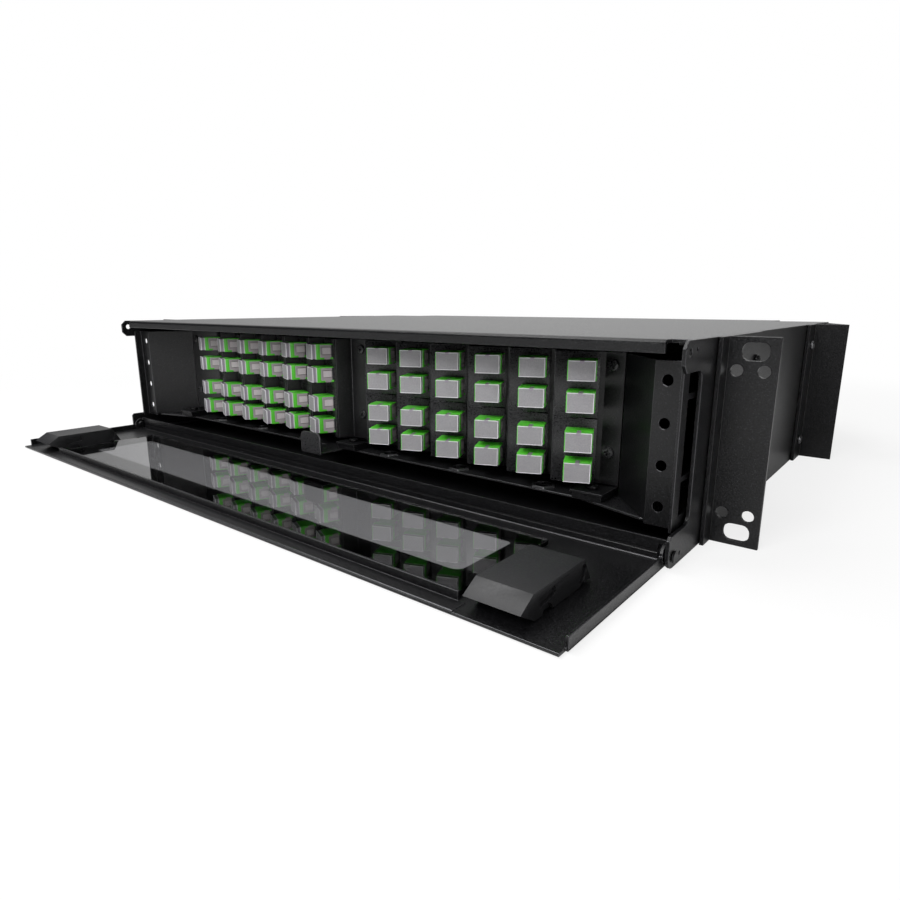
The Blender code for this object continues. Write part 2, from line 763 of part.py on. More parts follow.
def build_door_window(axis, finish_of):
    """Smoked acrylic pane bonded to the inside of the door."""
    low = DOOR_LIFT + DOOR_SHEET + GAP
    half = latch_inner() - PANE_END
    outline = rounded_rectangle((-half, back(-PANE_FRONT)), (half, back(-PANE_BACK)), WINDOW_RADIUS / 2)
    pane = outline_plate("pane", [outline], "Z", low, low + PANE_THICKNESS)
    return finish(pane, "door_window", finish_of["acrylic"], axis)


def build_latch(side, name, axis, finish_of):
    """Moulded slide latch: wedge nose, side grip pockets, hooked heel and guide foot."""
    low = DOOR_LIFT + DOOR_SHEET + GAP
    tip, top_front = back(-LATCH_TIP), back(-LATCH_TOP_FRONT)
    top_back, hook, heel = back(-LATCH_TOP_BACK), back(-LATCH_HOOK), back(-LATCH_SOLE_BACK)
    profile = [
        (tip, LATCH_TIP_LOW),
        (back(-LATCH_SOLE_FRONT), low),
        (heel, low),
        (heel + 0.0014, low + 0.0012),
        (hook, LATCH_HOOK_LOW),
        (top_back, LATCH_TOP),
        (top_front, LATCH_TOP),
        (tip, LATCH_TIP_HIGH),
    ]
    ends = sorted((side * latch_inner(), side * latch_outer()))
    latch = outline_plate(name, [profile], "X", *ends)
    grip = [
        (top_front + 0.0030, LATCH_TOP - 0.0028),
        (top_front + 0.0045, LATCH_TOP - 0.0066),
        (top_front + 0.0140, LATCH_TOP - 0.0050),
        (top_front + 0.0146, LATCH_TOP - 0.0040),
        (top_front + 0.0137, LATCH_TOP - 0.0022),
    ]
    arch = arc((top_front + 0.0095, low - 0.0003), 0.0034, 0, 180, 2 * CURVE_STEPS)
    eye = arc((heel + 0.0023, low + 0.0059), 0.0023, -20, 160)
    eye += arc((heel + 0.0014, low + 0.0035), 0.0023, 160, 340)
    for face, sign in ((side * latch_outer(), side), (side * latch_inner(), -side)):
        inside = sorted((face - sign * LATCH_POCKET, face + sign * SHEET))
        for tag, outline in (("_grip", grip), ("_arch", arch), ("_eye", eye)):
            cut(latch, outline_plate(name + tag, [outline], "X", *inside))
    foot_x, foot_y = side * latch_middle(), latch_foot_y()
    join(latch, rod(name + "_foot", (foot_x, foot_y, DOOR_LIFT + GAP), (foot_x, foot_y, low + SHEET),
                    LATCH_FOOT_RADIUS))
    return finish(latch, name, finish_of["plastic"], axis)


def build_tray_floor(finish_of):
    """Tray floor with flared front corners, a folded finger tab and pressed-in nuts."""
    low = TRAY_TOP - TRAY_SHEET
    front = back(TRAY_FRONT)
    flare = back(STRIP_Y + 2 * SHEET)
    half, inner_end = wall_face() - TRAY_END, strip_inner() - 2 * SHEET
    front_half = bank_outer() - TRAY_FLARE
    arm = PULL_HALF - GAP / 2
    tab_y = back(PULL_FRONT)
    outline = [
        (-half, flare), (-inner_end, flare), (-front_half, front),
        (-arm, front), (-arm, tab_y + TRAY_SHEET / 2), (arm, tab_y + TRAY_SHEET / 2),
        (arm, front), (front_half, front), (inner_end, flare), (half, flare),
        (half, back(TRAY_BACK)), (-half, back(TRAY_BACK)),
    ]
    floor = outline_plate("tray_sheet", [outline], "Z", low, TRAY_TOP)
    tab_outline = [(-PULL_HALF, low + GAP), (PULL_HALF, low + GAP)]
    tab_outline += arc((PULL_HALF - PULL_CORNER, PULL_TOP - PULL_CORNER), PULL_CORNER, 0, 90)
    tab_outline += arc((PULL_CORNER - PULL_HALF, PULL_TOP - PULL_CORNER), PULL_CORNER, 90, 180)
    join(floor, outline_plate("tray_tab", [tab_outline], "Y", tab_y, tab_y + TRAY_SHEET))
    for group in (0, NUT_GROUP):
        for index in range(NUTS):
            x = NUT_FIRST + index * NUT_PITCH - group
            y = back(NUT_Y)
            hexagon = arc((x, y), NUT_RADIUS, 0, 300, 5)
            nut = outline_plate("tray_nut", [hexagon], "Z", TRAY_TOP - TRAY_SHEET / 2, TRAY_TOP + NUT_HEIGHT)
            join(floor, nut)
            cut(floor, rod("tray_nut_hole", (x, y, low - TRAY_SHEET),
                           (x, y, TRAY_TOP + 4 * TRAY_SHEET), NUT_HOLE))
    for x, y, z in foot_places():
        cut(floor, rod("tray_bore", (x, y, z), (x, y, low - TRAY_SHEET), SCREW_SHANK + GAP, SCREW_FACETS))
    return finish(floor, "tray_floor", finish_of["steel"])


def build_tray_support(index, y, finish_of):
    """Channel that carries the tray above the base pan."""
    low, high = SHEET + GAP, TRAY_TOP - TRAY_SHEET - GAP
    half = wall_face() - SUPPORT_END
    path = [
        (back(y), low), (back(y), high), (back(y + SUPPORT_WIDTH), high), (back(y + SUPPORT_WIDTH), low),
    ]
    support = folded_sheet("support", path, SHEET, -half, half, axis="X", side=1.0)
    return finish(support, f"tray_support_{index}", finish_of["steel"])


def build_tray_side(side, name, finish_of):
    """Tray side: slanted cheek, drilled cable strip and the laddered wall beside the side plate."""
    low = TRAY_TOP - TRAY_SHEET
    path = [
        (bank_outer() + GAP, back(FACET_BACK_Y)),
        (strip_inner(), back(STRIP_Y)),
        (wall_face() - TRAY_SHEET / 2, back(STRIP_Y)),
    ]
    piece = folded_sheet(name, mirrored(path, side), TRAY_SHEET, low, STRIP_TOP, side=-side)
    under = sorted((side * (bank_outer() - SHEET), side * (strip_inner() - GAP)))
    cut(piece, box(name + "_under", (under[0], back(STRIP_Y) - SHEET, low - SHEET),
                   (under[1], back(FACET_BACK_Y) + 2 * SHEET, TRAY_TOP + GAP)))
    wall = sorted((side * wall_face(), side * (wall_face() - TRAY_SHEET)))
    join(piece, box(name + "_wall", (wall[0], back(WALL_FRONT), low),
                    (wall[1], back(WALL_BACK), STRIP_TOP)))
    for index in range(STRIP_HOLES):
        z = STRIP_HOLE_FIRST + index * STRIP_HOLE_PITCH
        x = side * (strip_inner() + STRIP_HOLE_IN)
        cut(piece, rod(name + "_hole", (x, back(STRIP_Y) - SHEET, z),
                       (x, back(STRIP_Y) + 2 * SHEET, z), STRIP_HOLE_RADIUS))
    levels = [WALL_WINDOW_LOW, *RUNG_HEIGHTS, WALL_WINDOW_HIGH]
    for index, (bottom, top) in enumerate(zip(levels, levels[1:])):
        bottom += RUNG_HALF if index else 0
        top -= RUNG_HALF if index < len(levels) - 2 else 0
        cut(piece, box(name + "_window", (wall[0] - SHEET / 2, back(WALL_WINDOW_FRONT), bottom),
                       (wall[1] + SHEET / 2, back(WALL_WINDOW_BACK), top)))
    return finish(piece, name, finish_of["steel"])


def facet_origin(first_tip, column, side):
    """World place, at floor level, of an adapter's centre on the front of its facet."""
    tip = first_tip + side * column * COLUMN_PITCH
    along = ADAPTER_ALONG if side > 0 else ADAPTER_ALONG_LEFT
    deeper = back(FACET_TIP_Y) + along * math.sin(FACET_YAW)
    return Vector((tip + side * along * math.cos(FACET_YAW), deeper, 0))


def facet_frame(first_tip, column, side):
    """Matrix from a facet's own frame, with -Y out of its front, to the world."""
    turn = Matrix.Rotation(side * FACET_YAW, 4, "Z")
    return Matrix.Translation(facet_origin(first_tip, column, side)) @ turn


def facet_length():
    """Length of a facet's slanted front, from its tip to the back fold."""
    return (FACET_BACK_Y - FACET_TIP_Y) / math.sin(FACET_YAW)


def bank_half(first_tip, side):
    """Plan of one half of the bank, from the middle outwards: slanted facets, returns and end flange."""
    run = facet_length() * math.cos(FACET_YAW)
    tips = [first_tip + side * column * COLUMN_PITCH for column in range(COLUMNS)]
    path = [(tips[0] - side * (COLUMN_PITCH - run), back(FACET_BACK_Y))]
    for tip in tips:
        path += [(tip, back(FACET_TIP_Y)), (tip + side * run, back(FACET_BACK_Y))]
    path.append((side * bank_outer(), back(FACET_BACK_Y)))
    return path


def bank_screw_places():
    """Seats of the bank's screws: a pair in the middle flange and one by each cheek."""
    outer = bank_outer() - BANK_SCREW_INSET
    middle = (LEFT_FIRST_TIP + RIGHT_FIRST_TIP) / 2
    return [(x, back(FACET_BACK_Y), z) for x in (-outer, middle, outer) for z in BANK_SCREW_HEIGHTS]


def foot_places():
    """Middle of each foot's screw seat, on top of the foot."""
    reach = bank_outer() - GAP - FOOT_WIDTH / 2
    middle = (LEFT_FIRST_TIP + RIGHT_FIRST_TIP) / 2
    return [(x, back(FOOT_SCREW_Y), FOOT_TOP) for x in (-reach, middle, reach)]


def build_bank(finish_of):
    """Adapter bank folded from one sheet, with a tall opening in each slanted facet, on its feet."""
    path = bank_half(LEFT_FIRST_TIP, -1)[::-1] + bank_half(RIGHT_FIRST_TIP, 1)
    bank = folded_sheet("bank", path, BANK_SHEET, BANK_BOTTOM, BANK_TOP, side=-1.0)
    for side, first_tip in ((-1, LEFT_FIRST_TIP), (1, RIGHT_FIRST_TIP)):
        for column in range(COLUMNS):
            opening = box("bank_opening", (-BANK_WINDOW_HALF, -BANK_SHEET, BANK_WINDOW_LOW),
                          (BANK_WINDOW_HALF, 3 * BANK_SHEET, BANK_WINDOW_HIGH))
            opening.data.transform(facet_frame(first_tip, column, side))
            cut(bank, opening)
    for place in bank_screw_places():
        cut(bank, screw_bore("bank_bore", place, (0, -1, 0)))
    low = TRAY_TOP + GAP
    face = back(FACET_BACK_Y)
    for x, y, z in foot_places():
        left, right = x - FOOT_WIDTH / 2, x + FOOT_WIDTH / 2
        sole = box("bank_foot", (left, back(FOOT_FRONT), z - BANK_SHEET), (right, face + BANK_SHEET, z))
        pad = box("bank_pad", (left + FOOT_INSET, back(FOOT_FRONT) + FOOT_INSET, low),
                  (right - FOOT_INSET, face, z - BANK_SHEET / 2))
        heel = box("bank_heel", (left, face + BANK_SHEET / 2, z - BANK_SHEET),
                   (right, face + 2 * BANK_SHEET, BANK_BOTTOM + 2 * BANK_SHEET))
        join(bank, sole, pad, heel)
        cut(bank, rod("foot_bore", (x, y, z + SHEET), (x, y, TRAY_TOP - SHEET),
                      SCREW_SHANK + GAP, SCREW_FACETS))
    return finish(bank, "adapter_bank", finish_of["steel"])


def adapter_shape():
    """One adapter with its dust cap, facing -Y, about the middle of its mounting face."""
    half_w, half_h = ADAPTER_WIDTH / 2, ADAPTER_HEIGHT / 2
    body = box("adapter", (-half_w, -ADAPTER_REACH, -half_h), (half_w, ADAPTER_TAIL, half_h))
    face = PLATE_THICKNESS + GAP
    rim = box("adapter_rim", (-RIM_WIDTH / 2, -face - RIM_DEPTH, -RIM_HEIGHT / 2),
              (RIM_WIDTH / 2, -face + RIM_DEPTH / 2, RIM_HEIGHT / 2))
    cap = box("adapter_cap", (-CAP_WIDTH / 2, -ADAPTER_REACH - CAP_REACH, -CAP_HEIGHT / 2),
              (CAP_WIDTH / 2, -ADAPTER_REACH + RIM_DEPTH, CAP_HEIGHT / 2))
    join(body, rim, cap)
    key = box("adapter_key", (-KEY_WIDTH / 2, -ADAPTER_REACH - SHEET / 4, half_h - KEY_DEPTH),
              (KEY_WIDTH / 2, -ADAPTER_REACH + KEY_LENGTH, half_h + SHEET))
    cut(body, key)
    return apply_modifiers(body)


def build_adapter_column(side, column, name, first_tip, shape, finish_of):
    """Facet plate with its seam and four capped adapters."""
    thickness = PLATE_THICKNESS
    along = ADAPTER_ALONG if side > 0 else ADAPTER_ALONG_LEFT
    start = -along + 2 * GAP
    end = facet_length() - along - 2 * thickness
    if side < 0:
        start, end = -end, -start
    top = BANK_TOP - GAP
    plate = box(name, (start, -thickness - GAP, PLATE_BOTTOM), (end, -GAP, top))
    step = box(name + "_lower", (start, -thickness - GAP - SEAM_STEP, PLATE_BOTTOM),
               (end, -GAP - thickness / 2, SEAM_HEIGHT))
    join(plate, step)
    bm = bmesh.new()
    for height in ROW_HEIGHTS:
        copy = shape.data.copy()
        copy.transform(Matrix.Translation((0, 0, height)))
        bm.from_mesh(copy)
        bpy.data.meshes.remove(copy)
    join(plate, add_object(name + "_adapters", mesh_from(bm, name + "_adapters")))
    apply_modifiers(plate)
    plate.data.transform(facet_frame(first_tip, column, side))
    return finish(plate, name, finish_of["adapter"])


def build_cassette(finish_of):
    """Splice cassette with its lid, on the tray behind the adapters."""
    low = TRAY_TOP + GAP
    top = low + CASSETTE_HEIGHT
    y = (back(CASSETTE_FRONT), back(CASSETTE_BACK))
    outline = rounded_rectangle((-CASSETTE_HALF, y[0]), (CASSETTE_HALF, y[1]), 4 * CASSETTE_WALL)
    tray = outline_plate("cassette", [outline], "Z", low, top)
    wall = CASSETTE_WALL
    inside = rounded_rectangle((-CASSETTE_HALF + wall, y[0] + wall),
                               (CASSETTE_HALF - wall, y[1] - wall), 3 * wall)
    cut(tray, outline_plate("cassette_inside", [inside], "Z", low + wall, top + wall))
    finish(tray, "splice_cassette", finish_of["plastic"])
    lid = outline_plate("lid", [outline], "Z", top + GAP, top + GAP + LID_THICKNESS)
    return finish(lid, "splice_cassette_lid", finish_of["clear"])


def build_spool(side, name, finish_of):
    """Fibre guide spool that keeps the stored fibre above its bend radius."""
    low = TRAY_TOP + GAP
    top = low + SPOOL_HEIGHT
    outer, lip, wall = SPOOL_RADIUS, SPOOL_RADIUS + SPOOL_LIP, SPOOL_WALL
    profile = [
        (lip, top), (lip, top - wall), (outer, top - wall), (outer, low + wall), (lip, low + wall),
        (lip, low), (outer - wall, low), (outer - wall, top),
    ]
    place = (side * (wall_face() - SPOOL_END), back(SPOOL_Y), 0)
    spool = turned(name, profile, place, (0, 0, 1), TURN_STEPS, closed=True)
    return finish(spool, name, finish_of["plastic"])


def build_grommet(place, name, finish_of):
    """Rubber grommet in a rear cable port."""
    bore = PORT_RADIUS - GAP - GROMMET_WALL
    neck, lip = PORT_RADIUS - GAP, PORT_RADIUS + GROMMET_LIP
    near, far = SHEET + GAP, GAP
    profile = [
        (lip, far + SHEET), (lip, far), (neck, far), (neck, -near), (lip, -near),
        (lip, -near - SHEET), (bore, -near - SHEET), (bore, far + SHEET),
    ]
    ring = turned(name, profile, place, (0, 1, 0), TURN_STEPS, closed=True)
    return finish(ring, name, finish_of["rubber"])


def make_finishes():
    """Materials of the box, by name."""
    return {
        "steel": material_of("black_powder_coated_steel", (0.012, 0.012, 0.013), 0.45, 0.0),
        "screw": material_of("black_zinc_screws", (0.05, 0.05, 0.052), 0.35, 0.8),
        "acrylic": material_of("smoked_acrylic", (0.04, 0.04, 0.04), 0.05, 0.0, 0.4),
        "plastic": material_of("black_moulded_plastic", (0.02, 0.02, 0.021), 0.5, 0.0),
        "adapter": material_of("green_adapter_plastic", (0.09, 0.45, 0.05), 0.4, 0.0),
        "clear": material_of("clear_plastic", (0.6, 0.6, 0.6), 0.15, 0.0, 0.5),
        "rubber": material_of("black_rubber", (0.015, 0.015, 0.015), 0.8, 0.0),
    }


def add_axis(name, place):
    """Empty on a joint's axis, which carries the pieces that move about it."""
    empty = bpy.data.objects.new(name, None)
    empty.location = place
    bpy.data.collections[PARTS].objects.link(empty)
    bpy.context.view_layer.update()
    return empty


def main():
    """Build the whole box."""
    clear_scene()
    collection_named(PARTS)
    collection_named(CUTTERS)
    finishes = make_finishes()
    build_base_pan(finishes)
    build_top_cover(finishes)
    sides = ((-1, "left"), (1, "right"))
    for side, word in sides:
        build_side_plate(side, f"side_plate_{word}", finishes)
        build_front_ear(side, f"front_ear_{word}", finishes)
        build_rear_ear(side, f"rear_ear_{word}", finishes)
        names = ("front_low", "front_high", "rear_low", "rear_high")
        for tag, place in zip(names, ear_screw_places(side)):
            build_screw(f"ear_screw_{word}_{tag}", place, (side, 0, 0), EAR_SHEET + 2 * SHEET, finishes)
        build_hinge_pin(side, f"hinge_pin_{word}", finishes)
        build_tray_side(side, f"tray_side_{word}", finishes)
    for place, (side, word) in zip(port_places(), sides):
        build_grommet(place, f"cable_grommet_{word}", finishes)
        build_spool(side, f"fibre_spool_{word}", finishes)
    build_tray_floor(finishes)
    for index, y in enumerate(SUPPORT_Y, 1):
        build_tray_support(index, y, finishes)
    build_cassette(finishes)
    shape = adapter_shape()
    build_bank(finishes)
    for index, place in enumerate(bank_screw_places(), 1):
        build_screw(f"bank_screw_{index}", place, (0, -1, 0), 4 * BANK_SHEET, finishes, FLAT_RISE)
    for index, place in enumerate(foot_places(), 1):
        build_screw(f"foot_screw_{index}", place, (0, 0, 1), FOOT_SCREW_LENGTH, finishes)
    for (side, word), first_tip in zip(sides, (LEFT_FIRST_TIP, RIGHT_FIRST_TIP)):
        for column in range(COLUMNS):
            name = f"adapter_column_{word}_{column + 1}"
            build_adapter_column(side, column, name, first_tip, shape, finishes)
    hinge = add_axis("door_hinge_axis", (0, back(HINGE_Y), HINGE_Z))
    build_door_panel(hinge, finishes)
    build_door_window(hinge, finishes)
    for side, word in sides:
        latch_axis = add_axis(f"latch_{word}_axis", (side * latch_middle(), latch_foot_y(), LATCH_TOP))
        latch_axis.parent = hinge
        latch_axis.matrix_parent_inverse = hinge.matrix_world.inverted()
        build_latch(side, f"door_latch_{word}", latch_axis, finishes)


main()
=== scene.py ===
import logging
import math
from dataclasses import dataclass, field
from enum import Enum

import bmesh
import bpy
from bpy.types import ID, Material, Node, NodeSocket, NodeTree, Object
from mathutils import Matrix, Vector


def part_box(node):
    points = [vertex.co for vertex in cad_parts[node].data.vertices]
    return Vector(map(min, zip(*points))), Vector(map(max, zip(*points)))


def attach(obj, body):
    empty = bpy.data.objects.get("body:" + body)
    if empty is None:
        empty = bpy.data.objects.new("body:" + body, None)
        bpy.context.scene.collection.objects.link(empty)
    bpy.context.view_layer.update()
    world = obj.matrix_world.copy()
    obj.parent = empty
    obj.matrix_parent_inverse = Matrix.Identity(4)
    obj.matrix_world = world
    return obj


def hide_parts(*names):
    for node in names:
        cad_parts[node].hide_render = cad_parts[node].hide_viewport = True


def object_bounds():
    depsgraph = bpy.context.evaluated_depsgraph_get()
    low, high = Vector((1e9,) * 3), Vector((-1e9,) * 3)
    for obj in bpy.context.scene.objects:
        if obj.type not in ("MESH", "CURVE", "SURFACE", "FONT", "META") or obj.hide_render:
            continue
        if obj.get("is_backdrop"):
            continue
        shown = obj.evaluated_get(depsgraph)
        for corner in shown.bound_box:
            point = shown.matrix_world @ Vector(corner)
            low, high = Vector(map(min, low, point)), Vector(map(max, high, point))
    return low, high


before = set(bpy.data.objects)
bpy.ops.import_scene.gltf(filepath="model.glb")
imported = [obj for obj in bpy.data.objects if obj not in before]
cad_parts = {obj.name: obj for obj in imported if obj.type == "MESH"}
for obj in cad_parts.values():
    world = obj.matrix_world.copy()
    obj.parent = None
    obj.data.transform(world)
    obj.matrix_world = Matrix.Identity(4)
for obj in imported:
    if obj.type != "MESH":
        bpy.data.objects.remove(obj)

LOG = logging.getLogger("fibre_box")

# metres
OVERCUT = 0.001  # how far a cutter stands out of the piece that it cuts
WELD = 0.00001  # loose triangles of a solid closer than this are joined
ON_AXIS = 1e-7  # a point of a turned profile with a smaller radius lies on the axis
SCATTER_RADIUS = (0.001, 0.001, 0.001)  # of light inside a plastic

# degrees
FLAT_ANGLE = 0.5  # faces that differ by less lie in one plane
FOLD_ANGLE = 38  # a sharper fold of a solid gets a rounded edge
CREASE_MARGIN = 6  # an edge keeps its crease from this far below the angle that is rounded

BEVEL_STEPS = 2  # faces across a rounded edge
TURN_STEPS = 28  # sides of a turned shape
NORMAL_WEIGHT = 100  # a large face sets the shading of the rounding beside it

NOISE_SPAN = (0.3, 0.7)  # where most values of a noise lie
MOTTLE_DETAIL = 3.0
GRAIN_DETAIL = 2.0
HAZE_DETAIL = 4.0
GRAIN_SHARE = 0.85  # of the grain, against the mottling, in a finish's colour
GLOSS_SWING = 0.06  # how far the grain moves the roughness either way
HAZE_SWING = 0.5  # share of a clear sheet's roughness that its haze takes or adds


class Body(str, Enum):
    """The rigid bodies that a new piece rides on."""

    HOUSING = "housing"
    LATCH_LEFT = "latch_left"
    LATCH_RIGHT = "latch_right"


class Slot(str, Enum):
    """Material slots of the record, one passed along with each new piece."""

    STEEL = "powder_coated_steel"
    SCREW = "black_zinc_steel"
    ADAPTER = "green_adapter_plastic"
    PLASTIC = "black_plastic"
    CLEAR = "clear_plastic"


class Side(Enum):
    """Left or right half of the box, as seen from the front."""

    LEFT = -1
    RIGHT = 1

    @property
    def label(self) -> str:
        """Name of the side in lower case."""
        return self.name.lower()


class Axis(Enum):
    """Axis that an outline is drawn along.

    Its value says where X, Y and Z come from: 0 and 1 are the outline's own two numbers, and 2 is
    the place along the axis.
    """

    X = (2, 0, 1)
    Y = (0, 2, 1)


# ---- materials


def linear(code: str) -> tuple[float, float, float, float]:
    """Turns an sRGB colour code into linear light.

    Args:
        code: six hex digits, such as "5dcc39".

    Returns:
        Red, green, blue and alpha, in linear light.
    """
    channels = [int(code[i:i + 2], 16) / 255 for i in (0, 2, 4)]
    straight = [c / 12.92 if c <= 0.04045 else ((c + 0.055) / 1.055) ** 2.4 for c in channels]
    return (*straight, 1.0)


def add_node(tree: NodeTree, kind: str, inputs: dict | None = None, **settings: object) -> Node:
    """Adds one node to a tree, with its settings and inputs.

    Args:
        tree: the node tree.
        kind: the node's Blender type.
        inputs: value or output socket for each named or numbered input.
        **settings: the node's own properties.

    Returns:
        The new node.
    """
    node = tree.nodes.new(kind)
    for name, value in settings.items():
        setattr(node, name, value)
    for key, value in (inputs or {}).items():
        if isinstance(value, NodeSocket):
            tree.links.new(value, node.inputs[key])
        else:
            node.inputs[key].default_value = value
    return node


def new_material(name: str) -> tuple[Material, NodeTree, Node]:
    """Makes a material with an empty tree and its output.

    Args:
        name: the material's name.

    Returns:
        The material, its tree and its output node.
    """
    material = bpy.data.materials.new(name)
    material.use_nodes = True
    tree = material.node_tree
    tree.nodes.clear()
    return material, tree, add_node(tree, "ShaderNodeOutputMaterial")


def noise_of(tree: NodeTree, place: NodeSocket, size: float, detail: float) -> NodeSocket:
    """Adds a noise with patches of a real size.

    Args:
        tree: the node tree.
        place: coordinates on the object.
        size: size of the patches, in metres.
        detail: how many finer layers it has.

    Returns:
        The noise's value.
    """
    inputs = {"Vector": place, "Scale": 1 / size, "Detail": detail}
    return add_node(tree, "ShaderNodeTexNoise", inputs).outputs["Fac"]


def spread(tree: NodeTree, source: NodeSocket, low: float, high: float) -> NodeSocket:
    """Maps a noise value about one half to the range low to high.

    Args:
        tree: the node tree.
        source: the noise's output.
        low: the value at the noise's low end.
        high: the value at its high end.

    Returns:
        The mapped value's socket.
    """
    inputs = {0: source, 1: NOISE_SPAN[0], 2: NOISE_SPAN[1], 3: low, 4: high}
    return add_node(tree, "ShaderNodeMapRange", inputs).outputs[0]


@dataclass(frozen=True)
class Finish:
    """An opaque finish: a colour with mottling and grain, whose sizes are in metres."""

    name: str
    colour: str
    shade: str
    roughness: float
    mottle: float = 0.004
    grain: float = 0.0003
    bump: float = 0.1
    bump_depth: float = 0.00003
    speck: str = ""
    speck_size: float = 0.0005
    speck_share: float = 0.02
    metallic: float = 0.0
    specular: float = 0.5
    subsurface: float = 0.0

    def build(self) -> Material:
        """Builds the material.

        Returns:
            The material.
        """
        material, tree, output = new_material(self.name)
        place = add_node(tree, "ShaderNodeTexCoord").outputs["Object"]
        mottle = noise_of(tree, place, self.mottle, MOTTLE_DETAIL)
        grain = noise_of(tree, place, self.grain, GRAIN_DETAIL)
        mix = add_node(tree, "ShaderNodeMix", {0: GRAIN_SHARE, 2: mottle, 3: grain}).outputs[0]
        colour = add_node(tree, "ShaderNodeMix", {
            0: spread(tree, mix, 0.0, 1.0), 6: linear(self.shade), 7: linear(self.colour),
        }, data_type="RGBA").outputs[2]
        if self.speck:
            cells = add_node(tree, "ShaderNodeTexVoronoi",
                             {"Vector": place, "Scale": 1 / self.speck_size}).outputs["Color"]
            red = add_node(tree, "ShaderNodeSeparateColor", {0: cells}).outputs[0]
            chosen = add_node(tree, "ShaderNodeMath", {0: red, 1: 1 - self.speck_share},
                              operation="GREATER_THAN").outputs[0]
            colour = add_node(tree, "ShaderNodeMix", {0: chosen, 6: colour, 7: linear(self.speck)},
                              data_type="RGBA").outputs[2]
        bump = add_node(tree, "ShaderNodeBump",
                        {"Strength": self.bump, "Distance": self.bump_depth, "Height": grain})
        low, high = self.roughness - GLOSS_SWING, self.roughness + GLOSS_SWING
        shader = add_node(tree, "ShaderNodeBsdfPrincipled", {
            "Base Color": colour,
            "Roughness": spread(tree, grain, low, high),
            "Metallic": self.metallic,
            "Specular IOR Level": self.specular,
            "Subsurface Weight": self.subsurface,
            "Subsurface Radius": SCATTER_RADIUS,
            "Normal": bump.outputs[0],
        })
        tree.links.new(shader.outputs[0], output.inputs["Surface"])
        return material


@dataclass(frozen=True)
class ClearSheet:
    """A see-through plastic sheet, tinted, with a polished surface."""

    name: str
    tint: str
    roughness: float = 0.02
    haze: float = 0.05
    index: float = 1.49

    def build(self) -> Material:
        """Builds the material.

        Returns:
            The material.
        """
        material, tree, output = new_material(self.name)
        place = add_node(tree, "ShaderNodeTexCoord").outputs["Object"]
        haze = noise_of(tree, place, self.haze, HAZE_DETAIL)
        low, high = self.roughness * (1 - HAZE_SWING), self.roughness * (1 + HAZE_SWING)
        shader = add_node(tree, "ShaderNodeBsdfPrincipled", {
            "Base Color": linear(self.tint),
            "Roughness": spread(tree, haze, low, high),
            "IOR": self.index,
            "Transmission Weight": 1.0,
        })
        tree.links.new(shader.outputs[0], output.inputs["Surface"])
        return material


